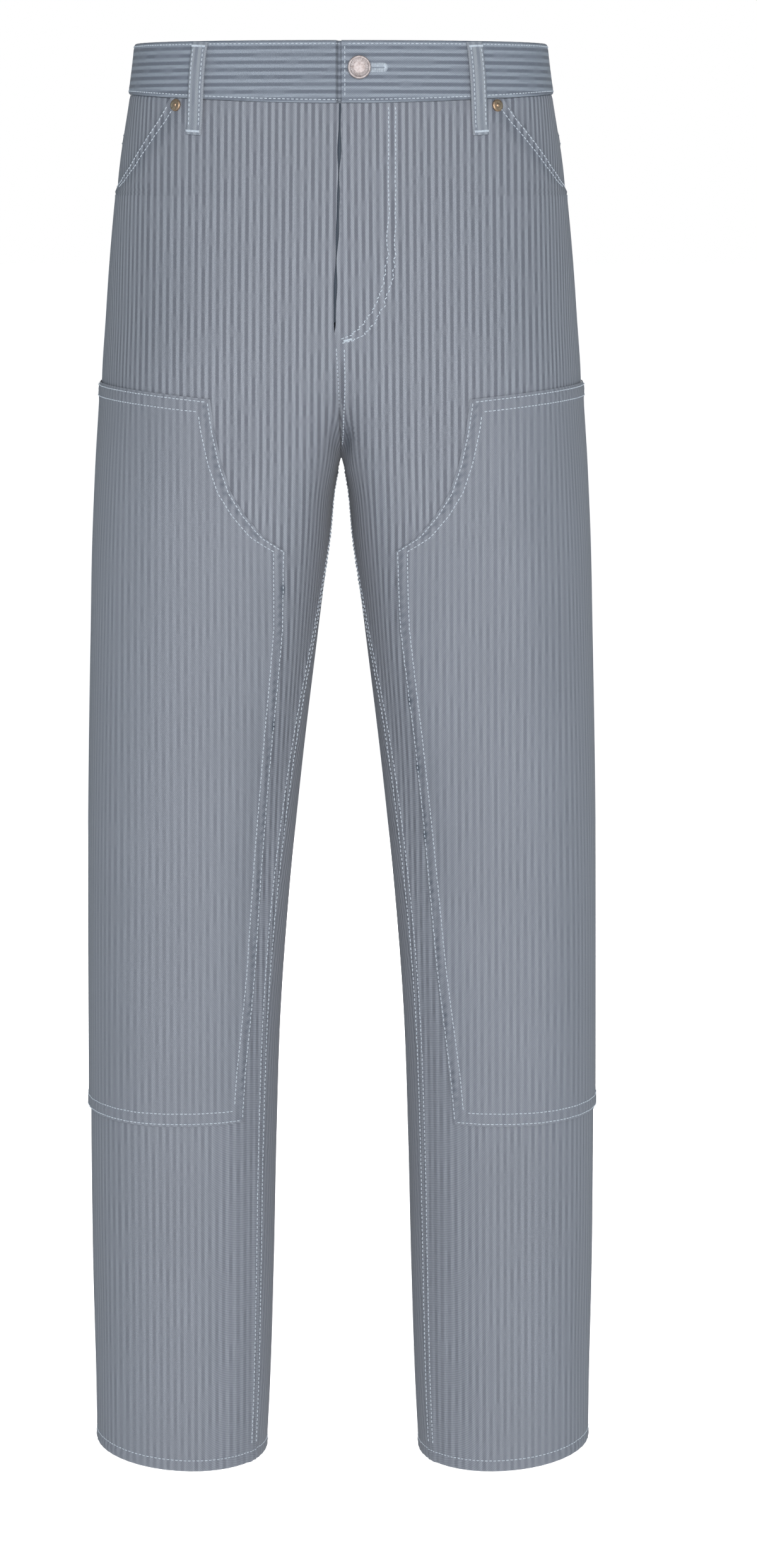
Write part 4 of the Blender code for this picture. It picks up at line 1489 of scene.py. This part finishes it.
    def _fly_rows(self, shell: Shell, sewing: Sewing) -> None:
        """Sew the J of the fly, a double row and its tack.

        Args:
            shell: the left front.
            sewing: the stitches that they join.
        """
        share = np.linspace(0.0, 1.0, len(FLY_CURVE))
        fine = np.linspace(0.0, 1.0, 60)
        for inset in (0.0, 5.0 * MM):
            down, x = (FLY_CURVE - (inset * 0.6, inset)).T
            down[0], x[-1] = BAND_HEIGHT + 3 * MM, FLY_FOOT
            downs = smooth(share, down, fine)
            angles = FORM.angle_at(downs, smooth(share, x, fine))
            sewing.row(shell.through(np.stack([downs, angles], -1)))
        tack_down, tack_x = 0.2155, 0.0045
        spot = shell.through(np.array(((tack_down, float(FORM.angle_at(tack_down, tack_x))),)))
        sewing.tack(spot.points[0], unit(np.array((1.0, 0.0, 0.25))), spot.normals[0], 6.5 * MM, 2.2 * MM)

    def _seam_relief(self, shell: Shell, sign: int, front: bool) -> None:
        """Raise the felled seams and draw in the side seam, each with its puckers.

        Args:
            shell: the panel.
            sign: +1 on the wearer's left, -1 on the right.
            front: whether it is a front.
        """
        downs, inner, outer = shell.downs, shell.from_inner, shell.from_outer
        below = step(CROTCH, CROTCH + 10 * MM, downs)
        centre = 1 - step(CROTCH - 12 * MM, CROTCH, downs)
        bar = 1 - step(self.felled - 1.2 * MM, self.felled + 1.2 * MM, inner)
        if front:
            shell.lift(self.felled_height * bar * below)
            shell.fade(0.20 * bell(inner - self.felled, 1.5 * MM) * below)
            shell.lift(-0.5 * MM * bell(inner, 1.6 * MM) * centre * (downs > FLY_END))
        elif sign > 0:
            shell.lift(self.felled_height * bar * centre)
        shell.lift(0.28 * MM * puckers(inner - 5 * MM, shell.from_top, 9 * MM, 11 * MM, 0.6 + sign) * below)
        side = downs > FACING_END
        shell.lift(-0.35 * MM * (1 - step(1.0 * MM, 4.0 * MM, outer)) * side)
        shell.lift(0.22 * MM * puckers(outer, shell.from_top, 7 * MM, 13 * MM, 1.9 + sign) * side)
        self._hem_relief(shell, 2.4 * sign + front)
        self._close_fork(shell, sign, FLY_END + 4 * MM if front else 0.0)

    def _hem_relief(self, shell: Shell, phase: float) -> None:
        """Turn up the hem, which its row of stitches ropes a little.

        Args:
            shell: the panel.
            phase: where the ropes start.
        """
        hem = shell.from_bottom
        shell.lift(0.35 * MM * bell(hem - 4 * MM, 3.5 * MM))
        shell.lift(-0.30 * MM * bell(hem - self.hem_row, 1.6 * MM))
        shell.lift(0.26 * MM * puckers(hem - 5 * MM, shell.from_inner + 0.7 * hem, 6 * MM, 9 * MM, phase))
        shell.fade(0.30 * bell(hem, 1.5 * MM))

    def _close_fork(self, shell: Shell, sign: int, top: float) -> None:
        """Draw the seams together at the fork, and part the legs under it.

        Args:
            shell: the panel.
            sign: +1 on the wearer's left, -1 on the right.
            top: distance down from which the centre seam is drawn shut.
        """
        downs, inner = shell.downs, shell.from_inner
        closing = bell(inner, 6 * MM) * bell(downs - CROTCH, 9 * MM)
        shell.lift(0.9 * MM * closing * (1 - step(CROTCH, CROTCH + 3 * MM, downs)))
        shell.lift(-1.2 * MM * bell(inner, 14 * MM) * bell(downs - CROTCH - 7 * MM, 4 * MM))
        seam = downs[:, :1]
        plain = FORM.plain_point(sign, seam, shell.angles[:, :1])[..., 0]
        past = np.maximum(sign * (shell.face[:, :1, 0] - plain) + 0.3 * MM, 0.0)
        past = past * (seam < CROTCH + 0.1 * MM) * (seam > top)
        shell.face[..., 0] -= sign * past * bell(inner, 8 * MM)


@dataclass
class Applied:
    """Pieces sewn on the panels: knee patches, back pockets, yokes, facings and the fly's shield."""

    room: Workroom
    columns: int = 84
    row_step: float = 0.0034
    row_near: float = 2.2 * MM
    row_far: float = 10.2 * MM
    seam_row: float = 8.5 * MM
    edge: float = 9.0 * MM  # turned-in edge, which is two layers thick
    # distances down at which a knee patch's inner edge gapes between two stitches, with painted shadow in
    # each gap
    edge_spots: dict[Half, tuple[float, ...]] = field(
        default_factory=lambda: {Half.LEFT: (0.485, 0.536, 0.587), Half.RIGHT: (0.400, 0.503)}
    )
    spot_reach: float = 4.5 * MM
    # distances down, and the patch's stripe contrast there
    patch_levels: tuple[float, ...] = (0.25, 0.81)
    patch_shares: tuple[float, ...] = (0.40, 0.33)
    # how far each piece's stripes lie from the line that they run along
    patch_shift: float = 0.0021
    yoke_shift: float = 0.0017
    facing_shift: float = 0.0009
    pocket_shift: float = 0.0031
    # distances down at which the rows down a back pocket's inner and outer edge end
    pocket_inner_end: float = 0.2555
    pocket_outer_end: float = 0.2490

    def build(self) -> None:
        """Build each applied piece on both halves."""
        for half in Half:
            self.knee_patch(half)
            self.yoke(half)
            self.pocket_facing(half)
            self.back_pocket(half)
        self.fly_shield()

    def knee_patch(self, half: Half) -> None:
        """Build one knee patch and its double rows of stitches.

        Args:
            half: which half.
        """
        sign = half.value
        top, bottom = PATCH_INNER[0, 0], PATCH_INNER[-1, 0]
        share = np.linspace(0.0, 1.0, self.columns + 1)[None, :]
        tall = bottom - top
        run = finer(np.array((0.0, 0.01, 0.10 / tall, 1.0)), self.row_step / tall)[:, None]
        outer = SIDE_SEAM - 0.3
        edges = []
        for level, edge in ((top, PATCH_UPPER), (bottom, PATCH_LOWER)):
            turns = FORM.patch_edge(sign, np.array([level])) * (1 - share) + outer * share
            edges.append(np.interp(FORM.plain_point(1, level, turns)[..., 0], edge[:, 0], edge[:, 1]))
        downs = edges[0] * (1 - run) + edges[1] * run
        angles = FORM.patch_edge(sign, downs[:, 0])[:, None] * (1 - share) + outer * share
        shell = Shell.on_half("cloth_knee_patch_" + half.word, sign, downs, angles, off=ON_TOP)
        self._patch_relief(shell, half)
        self.room.make_up(shell, "cloth_front_" + half.word, "laid", 10 * MM, self.patch_shift)
        sewing = Sewing("stitches_knee_patch_" + half.word)
        for row in (self.row_near, self.row_far):
            sewing.row(shell.beside(shell.from_inner, row, top + row, bottom - row))
            sewing.row(shell.under(shell.from_top, row, near=row))
            sewing.row(shell.under(shell.from_bottom, row, near=row))
        self.room.dress(sewing.build(), THREAD)

    def _patch_relief(self, shell: Shell, half: Half) -> None:
        """Shape and fade a knee patch's turned-in edge, and paint shadow where it stands open, in dots along
        it and down the side.

        Args:
            shell: the patch.
            half: its half.
        """
        border = np.minimum(np.minimum(shell.from_inner, shell.from_top), shell.from_bottom)
        shell.even_out(self.patch_levels, self.patch_shares)
        shell.lift(0.5 * MM * (1 - step(self.edge, self.edge + 3 * MM, border)))
        shell.lift(-0.6 * MM * bell(border, 0.8 * MM))
        for row in (self.row_near, self.row_far):
            shell.lift(-0.22 * MM * bell(border - row, 1.0 * MM))
        round_edge = shell.from_top + 0.6 * shell.from_inner
        shell.lift(0.30 * MM * puckers(border - 5 * MM, round_edge, 9 * MM, 10 * MM, 1.1 * half.value))
        shell.fade(0.30 * bell(border, 1.4 * MM))
        gapes = sum(bell(shell.downs - down, self.spot_reach) for down in self.edge_spots[half])
        gapes = gapes * bell(shell.from_inner - 1.2 * MM, 2.0 * MM)
        shell.lift(0.5 * MM * gapes)
        shade_dots = (0.5 + 0.5 * np.sin(round_edge * math.tau / (7.3 * MM))) ** 2
        shade_dots = shade_dots * bell(shell.from_inner - 4.6 * MM, 2.0 * MM)
        # painted shadow in the gaps, dots of painted shade along the inner edge, and painted shade down the
        # side seam
        shell.paint_shade(1.3 * gapes + 0.55 * shade_dots + shell.side_shade())

    def yoke(self, half: Half) -> None:
        """Build one back yoke, double-stitched along its seam.

        Args:
            half: which half.
        """
        sign = half.value
        share = np.linspace(0.0, 1.0, 20)
        levels = BELOW_BAND + (YOKE_AT_CENTRE - BELOW_BAND) * share
        side = np.full(len(share), SIDE_ON_BACK)
        angles = FORM.between_seams(sign, levels, FORM.centre_back(levels), side, self.columns)
        downs = BELOW_BAND + (FORM.yoke_seam(angles) - BELOW_BAND) * share[:, None]
        shell = Shell.on_half("cloth_yoke_" + half.word, sign, downs, angles, off=0.1 * MM)
        lapped = (shell.from_bottom, shell.from_inner) if half is Half.LEFT else (shell.from_bottom,)
        for edge in lapped:
            shell.lift(0.6 * MM * (1 - step(9.5 * MM, 11.5 * MM, edge)))
        self.room.make_up(shell, "cloth_waistband", "hung", 12 * MM, self.yoke_shift, back=True)
        sewing = Sewing("stitches_yoke_" + half.word)
        for row in (self.row_near, self.seam_row):
            sewing.row(shell.under(shell.from_bottom, row))
            if half is Half.LEFT:
                sewing.row(shell.beside(shell.from_inner, row))
        self.room.dress(sewing.build(), THREAD)

    def pocket_facing(self, half: Half) -> None:
        """Build the side of the pocket that shows in its mouth.

        Args:
            half: which half.
        """
        sign = half.value
        downs = finer(np.array((BELOW_BAND, *POCKET_MOUTH[1:, 0], FACING_END)), 0.003)
        mouth = FORM.pocket_mouth(sign, downs)
        start = np.minimum(mouth, FACING_SHUT) - FACING_UNDER
        angles = FORM.between_seams(sign, downs, start, np.full(len(downs), SIDE_SEAM), 30)
        open_width = np.where(mouth < FACING_SHUT, SIDE_SEAM - mouth - FACING_FLAT, 1e6)
        flush = np.clip((angles - mouth[:, None] - FACING_FLAT) / open_width[:, None], 0.0, 1.0)
        depth = (CLOTH + 3 * LAYER_GAP) * (1 - flush)
        shell = Shell.on_half("cloth_pocket_facing_" + half.word, sign, downs[:, None], angles, off=-depth)
        self.room.make_up(shell, "cloth_front_" + half.word, "laid", 10 * MM, self.facing_shift)

    def back_pocket(self, half: Half) -> None:
        """Build one plain patch pocket on the back, with its hemmed top and double row.

        Args:
            half: which half.
        """
        share = np.linspace(0.0, 1.0, 47)[None, :]
        run = np.linspace(0.0, 1.0, 51)[:, None]
        top_x, top_down = (POCKET_TOP[0, axis] * (1 - share) + POCKET_TOP[1, axis] * share for axis in (0, 1))
        foot_x = POCKET_FOOT[0, 0] * (1 - share) + POCKET_FOOT[-1, 0] * share
        foot_down = np.interp(foot_x, POCKET_FOOT[:, 0], POCKET_FOOT[:, 1])
        downs = top_down * (1 - run) + foot_down * run
        angles = FORM.angle_at(downs, top_x * (1 - run) + foot_x * run, back=True)
        shell = Shell.on_half("cloth_back_pocket_" + half.word, half.value, downs, angles, off=ON_TOP)
        sides = np.minimum(np.minimum(shell.from_inner, shell.from_outer), shell.from_bottom)
        border = np.minimum(sides, shell.from_top)
        shell.lift(0.4 * MM * (1 - step(self.edge, self.edge + 2 * MM, sides)))
        shell.lift(0.7 * MM * (1 - step(14 * MM, 16 * MM, shell.from_top)))
        shell.lift(-0.6 * MM * bell(border, 0.8 * MM))
        shell.fade(0.35 * bell(border, 1.4 * MM))
        self.room.make_up(shell, "cloth_back_" + half.word, "laid", 12 * MM, self.pocket_shift, back=True)
        sewing = Sewing("stitches_back_pocket_" + half.word)
        for row in (self.row_near, self.seam_row):
            sewing.row(shell.beside(shell.from_inner, row, last=self.pocket_inner_end - row))
            sewing.row(shell.beside(shell.from_outer, row, last=self.pocket_outer_end - row))
            sewing.row(shell.under(shell.from_bottom, row, near=row, far=row))
        sewing.row(shell.under(shell.from_top, 13 * MM, near=1 * MM, far=1 * MM))
        self.room.dress(sewing.build(), THREAD)

    def fly_shield(self) -> None:
        """Build the strip behind the fly's edge."""
        downs = np.linspace(BELOW_BAND, FLY_END - 0.01, 40)
        edge = along(CENTRE_FRONT, downs)
        start = FORM.angle_at(downs, edge - SHIELD_UNDER)
        end = FORM.angle_at(downs, edge + SHIELD_WIDTH)
        share = np.linspace(0.0, 1.0, 13)
        angles = start[:, None] * (1 - share) + end[:, None] * share
        shell = Shell.on_half("cloth_fly_shield", 1, downs[:, None], angles, off=-CLOTH - 3 * LAYER_GAP)
        # its dark material paints the shade in the fly's slot
        piece = self.room.dress(shell.mesh(shell.from_inner, shell.from_top), SHADED_SHIELD_TWILL, "fly_shield")
        self.room.sheet(piece, shell, 8 * MM, "laid", ["cloth_front_right"])


@dataclass
class Waistband:
    """The waistband with its buttonhole, belt loops and button."""

    room: Workroom
    columns: int = 440
    # rows of points, in millimetres down
    rows: tuple[float, ...] = (
        0.0, 0.5, 1.4, 3.0, 5.0, 9.0, 13.0, 18.5, 24.0, 28.0, 32.0, 34.0, 35.6, 36.5, 37.0
    )
    edge_row: float = 2.4 * MM
    end_turn: float = 270.4  # where the end with the buttonhole lies
    step_start: float = 628.8  # turn at which the end with the button starts to pass behind
    step_end: float = 629.8
    # the buttonhole, as x from end to end, half its width, and the reach and spacing of its stitches
    hole: tuple[float, float] = (0.0110, 0.0318)
    hole_half: float = 0.10 * MM
    hole_reach: float = 3.0 * MM
    hole_pitch: float = 0.62 * MM
    loop_length: float = 0.075
    loop_tacks: tuple[float, float] = (0.0035, 0.0618)
    # (name, half, angle)
    loops: tuple[tuple[str, int, float], ...] = (
        ("belt_loop_front_left", +1, 307.5),
        ("belt_loop_front_right", -1, 309.3),
        ("belt_loop_back_left", +1, 48.0),
        ("belt_loop_back_right", -1, 48.0),
        ("belt_loop_centre_back", +1, 90.0),
    )

    def build(self) -> None:
        """Build the band, then what is sewn on it."""
        self.band()
        for name, half, angle in self.loops:
            self.loop(name, half, angle)

    def band(self) -> None:
        """Build the strip, round from the end with the buttonhole to the end behind it."""
        under_end = float(FORM.angle_at(BUTTON_DOWN, BAND_UNDERLAP)) + 360.0
        around = np.linspace(self.end_turn, self.step_start, self.columns)
        behind_it = np.linspace(self.step_start, self.step_end, 8)[1:-1]
        turns = np.concatenate([around, behind_it, np.linspace(self.step_end, under_end, 30)])
        downs, turns = np.meshgrid(np.array(self.rows) * MM, turns, indexing="ij")
        behind = (BAND_WALL + 2 * LAYER_GAP) * step(self.step_start, self.step_end, turns)
        mirrored = np.cos(np.radians(turns)) < 0
        face, normal = np.zeros((*downs.shape, 3)), np.zeros((*downs.shape, 3))
        for half, chosen, angles in ((1, ~mirrored, turns), (-1, mirrored, 180.0 - turns)):
            outward = FORM.outward(half, downs, angles)
            height = FORM.relief(half, downs, angles) + BAND_PROUD - behind
            points = FORM.plain_point(half, downs, angles) + outward * height[..., None]
            face[chosen], normal[chosen] = points[chosen], outward[chosen]
        shell = Shell("cloth_waistband", downs, turns, face, normal, BAND_WALL)
        border = np.minimum(shell.from_top, shell.from_bottom)
        shell.lift(-0.9 * MM * bell(border, 0.9 * MM))
        shell.lift(-0.25 * MM * bell(border - self.edge_row, 1.0 * MM))
        shell.lift(0.22 * MM * puckers(border - 3 * MM, shell.from_inner, 5 * MM, 10 * MM, 0.4))
        shell.fade(0.35 * bell(border, 1.2 * MM))
        mesh = shell.mesh(shell.from_top, shell.from_inner, 0.3 * MM)
        piece = self.room.dress(mesh, BAND_TWILL, "waistband")
        # The flat band is one folded strip, so its cut is twice as high as the band.
        height = BAND_HEIGHT + 20 * MM
        sewing = Sewing("stitches_waistband")
        for edge in (shell.from_top, shell.from_bottom):
            sewing.row(shell.under(edge, self.edge_row, near=self.edge_row))
        sewing.row(shell.beside(shell.from_inner, self.edge_row, 3 * MM, 34 * MM))
        self._buttonhole(shell, sewing)
        self.room.dress(sewing.build(), THREAD)

    def _buttonhole(self, shell: Shell, sewing: Sewing) -> None:
        """Whip the buttonhole's edge with close stitches.

        Args:
            shell: the waistband.
            sewing: the stitches that they join.
        """
        near, far = self.hole_half, self.hole_reach
        for side in (-1, 1):
            for x in np.arange(*self.hole, self.hole_pitch):
                self._whip(shell, sewing, (x, side * near), (x, side * far))
        end = self.hole[1]
        for turn in np.radians(np.linspace(-80.0, 80.0, 11)):
            cos, sin = math.cos(turn), math.sin(turn)
            self._whip(shell, sewing, (end + near * cos, near * sin), (end + far * cos, far * sin))

    def _whip(self, shell: Shell, sewing: Sewing, *ends: tuple[float, float]) -> None:
        """Sew one stitch between two places.

        Args:
            shell: the waistband.
            sewing: the stitches that it joins.
            ends: each place, as (x, height above the buttonhole's line).
        """
        places = [(BUTTON_DOWN - up, float(FORM.angle_at(BUTTON_DOWN - up, x))) for x, up in ends]
        line = shell.through(np.array(places))
        sewing.single(line.points[0], line.points[1], line.normals[0], TACK_STITCH)

    def loop(self, name: str, half: int, angle: float) -> None:
        """Build one belt loop, with its two rows of stitches and its tacks.

        Args:
            name: the node that it stands for.
            half: +1 for the wearer's left, -1 for the right.
            angle: where it is sewn.
        """
        downs = finer(LOOP_PATH[:, 0], 0.0016)
        offs = smooth(LOOP_PATH[:, 0], LOOP_PATH[:, 1], downs) + LOOP_WALL
        turns = np.full(len(downs), angle)
        normal = FORM.outward(half, downs, turns)
        height = FORM.relief(half, downs, turns, fine=False)
        centre = FORM.plain_point(half, downs, turns) + normal * height[:, None]
        lengthwise = np.gradient(centre, axis=0)
        sideways = unit(np.cross(lengthwise, normal)) * half
        share = np.array((-1.0, -0.96, -0.86, -0.6, -0.2, 0.2, 0.6, 0.86, 0.96, 1.0)) / 2
        face = (centre + normal * offs[:, None])[:, None]
        face = face + sideways[:, None] * (share * LOOP_WIDTH)[None, :, None]
        normals = np.broadcast_to(normal[:, None], face.shape)
        grid = np.broadcast_to(downs[:, None], face.shape[:2])
        shell = Shell("cloth_" + name, grid, np.broadcast_to(share, grid.shape), face, normals, LOOP_WALL)
        border = np.minimum(shell.from_inner, shell.from_outer)
        shell.lift(-0.55 * MM * bell(border, 0.6 * MM))
        shell.lift(0.25 * MM * bell(border - 5 * MM, 2.0 * MM))
        shell.fade(0.5 * bell(border, 1.0 * MM))
        piece = self.room.dress(shell.mesh(shell.from_inner, shell.from_top), LOOP_TWILL, name)
        sewing = Sewing("stitches_" + name)
        for edge in (shell.from_inner, shell.from_outer):
            sewing.row(shell.beside(edge, 2.0 * MM, 3 * MM, 0.060))
        for down in self.loop_tacks:
            row = np.interp(down, downs, np.arange(len(downs)))
            spot = shell.read(np.array([row]), np.array([(len(share) - 1) / 2]))
            bar = unit(shell.face[int(row), -1] - shell.face[int(row), 0])
            sewing.tack(spot.points[0], bar, spot.normals[0], LOOP_WIDTH * 0.92, 2.0 * MM)
        self.room.dress(sewing.build(), THREAD)


@dataclass
class Metalwork:
    """The tack button and the two rivets, as turned pieces."""

    room: Workroom
    steps: int = 64
    ridges: int = 28  # fine ridges round the button's face
    ridge: float = 0.10  # their height in millimetres
    ridge_ring: tuple[float, float] = (4.4, 6.4)  # between these radii

    def build(self) -> None:
        """Build the button and both rivets."""
        turn = float(FORM.angle_at(BUTTON_DOWN, BUTTON_X))
        place, normal = self._spot(1, BUTTON_DOWN, turn, BAND_PROUD + LAYER_GAP)
        button = self.turned("tack_button", BUTTON_PROFILE, place, normal, self.ridges)
        self.room.dress(button, BUTTON_METAL, "button")
        for half in Half:
            angle = RIVET_ANGLE + FORM.mouth_turn(half.value, RIVET_DOWN)
            place, normal = self._spot(half.value, RIVET_DOWN, angle, 0.5 * MM)
            rivet = self.turned("rivet_cap_" + half.word, RIVET_PROFILE, place, normal)
            self.room.dress(rivet, COPPER, "rivet_" + half.word)

    def _spot(self, half: int, down: float, angle: float, off: float) -> tuple[Grid, Grid]:
        """Find the spot for a piece that stands on the cloth.

        Args:
            half: +1 for the wearer's left, -1 for the right.
            down: distance down.
            angle: angle in degrees.
            off: height of its foot above the cloth.

        Returns:
            Its foot, and the direction out of the cloth.
        """
        normal = FORM.outward(half, down, angle)
        height = float(FORM.relief(half, np.array(down), np.array(angle))) + off
        return FORM.plain_point(half, down, angle) + normal * height, normal

    def turned(self, name: str, profile: tuple, place: Grid, axis: Grid, ridges: int = 0) -> bpy.types.Object:
        """Turn a profile round an axis.

        Args:
            name: the piece's name.
            profile: (radius, height) pairs in millimetres.
            place: where its foot stands.
            axis: unit vector along which it stands.
            ridges: how many fine ridges run round its face.

        Returns:
            The piece.
        """
        side = unit(np.cross(axis, (0.0, 0.0, 1.0)))
        up = np.cross(side, axis)
        angles = np.linspace(0.0, math.tau, self.steps * (3 if ridges else 1), endpoint=False)
        points, rings = [], []
        for radius, height in profile:
            ridged = bool(ridges) and self.ridge_ring[0] < radius < self.ridge_ring[1]
            lift = self.ridge * ridged * np.cos(ridges * angles)
            if radius == 0.0:
                rings.append([len(points)])
                points.append(place + axis * height * MM)
                continue
            rings.append(list(range(len(points), len(points) + len(angles))))
            round_it = np.cos(angles)[:, None] * side + np.sin(angles)[:, None] * up
            points.extend(place + round_it * radius * MM + axis * ((height + lift) * MM)[:, None])
        faces = []
        for inner, outer in zip(rings, rings[1:]):
            count = max(len(inner), len(outer))
            for index in range(count):
                after = (index + 1) % count
                a, b = inner[index % len(inner)], inner[after % len(inner)]
                c, d = outer[after % len(outer)], outer[index % len(outer)]
                faces.append(list(dict.fromkeys((a, d, c, b))))
        made = mesh_object(name, np.array(points), faces)
        if np.dot(np.array(made.data.polygons[0].normal), axis) < 0:
            made.data.flip_normals()
        made.data.set_sharp_from_angle(angle=math.radians(45))
        return made


@dataclass(frozen=True)
class Studio:
    """A pale floor, soft light and the camera at the photograph's angle."""

    camera_place: tuple[float, float, float] = (0.028, -3.30, -0.10)
    pitch: float = 7.9  # degrees below level
    lens: float = 100.0
    sensor: float = 36.0
    light_size: float = 1.6
    light_aim: tuple[float, float, float] = (0.0, 0.0, -0.55)
    white: Colour = (1.0, 0.970, 0.955)
    cool: Colour = (0.50, 0.82, 1.0)
    floor_down: float = 1.32
    floor_size: float = 60.0

    def build(self) -> None:
        """Set up the camera, the lights and the floor."""
        self.camera()
        self.lights()
        self.floor()

    def camera(self) -> None:
        """Place the camera."""
        data = bpy.data.cameras.new("camera")
        data.lens = self.lens
        data.sensor_fit = "VERTICAL"
        data.sensor_height = self.sensor
        data.clip_end = 200.0
        made = bpy.data.objects.new("camera", data)
        made.location = self.camera_place
        made.rotation_euler = (math.radians(90.0 - self.pitch), 0.0, 0.0)
        bpy.context.scene.collection.objects.link(made)
        bpy.context.scene.camera = made

    def lights(self) -> None:
        """Hang soft lights in front and behind and weaker ones at the sides, in a white room."""
        for name, place, power, colour in (
            ("front_light", (0.25, -4.6, 0.4), 134.0, self.white),
            ("back_light", (0.0, 4.6, 0.4), 134.0, self.white),
            ("left_light", (3.6, -0.4, 0.2), 8.0, self.cool),
            ("right_light", (-3.6, -0.4, 0.2), 8.0, self.cool),
        ):
            data = bpy.data.lights.new(name, "AREA")
            data.shape = "SQUARE"
            data.size = self.light_size
            data.energy = power
            data.color = colour
            made = bpy.data.objects.new(name, data)
            made.location = place
            away = Vector(self.light_aim) - Vector(place)
            made.rotation_euler = away.to_track_quat("-Z", "Y").to_euler()
            bpy.context.scene.collection.objects.link(made)
        world = bpy.data.worlds.new("white_room")
        world.use_nodes = True
        sheet = NodeSheet(world.node_tree)
        room = world.node_tree.nodes["Background"]
        room.inputs["Color"].default_value = (0.90, 0.96, 1.0, 1.0)
        room.inputs["Strength"].default_value = 0.26
        seen = sheet.node("ShaderNodeBackground", {"Color": (1.0, 1.0, 1.0, 1.0), "Strength": 1.0})
        ray = sheet.node("ShaderNodeLightPath").outputs["Is Camera Ray"]
        mixed = sheet.node("ShaderNodeMixShader", {0: ray, 1: room.outputs[0], 2: seen.outputs[0]})
        out = world.node_tree.nodes["World Output"]
        world.node_tree.links.new(mixed.outputs[0], out.inputs["Surface"])
        bpy.context.scene.world = world

    def floor(self) -> None:
        """Lay the pale floor."""
        reach = self.floor_size
        points = np.array(((-reach, -reach, 0), (reach, -reach, 0), (reach, reach, 0), (-reach, reach, 0)))
        made = mesh_object("floor", points - (0.0, 0.0, self.floor_down), np.array(((0, 1, 2, 3),)))
        material, sheet, shader = start_material("pale_floor")
        ray = sheet.node("ShaderNodeLightPath").outputs["Is Camera Ray"]
        inputs = {
            "Base Color": (0.93, 0.93, 0.93, 1.0),
            "Roughness": 0.9,
            "Emission Color": ray,
            "Emission Strength": 0.80,
        }
        sheet.feed(shader, inputs)
        made.data.materials.append(material)


def main() -> None:
    """Build the jeans piece by piece, then the studio."""
    logging.basicConfig(level=logging.INFO, format="%(name)s: %(message)s")
    room = Workroom()
    LegPanels(room).build()
    Applied(room).build()
    Waistband(room).build()
    Metalwork(room).build()
    Studio().build()
    bpy.context.scene.view_settings.view_transform = "Standard"


if __name__ == "__main__":
    main()
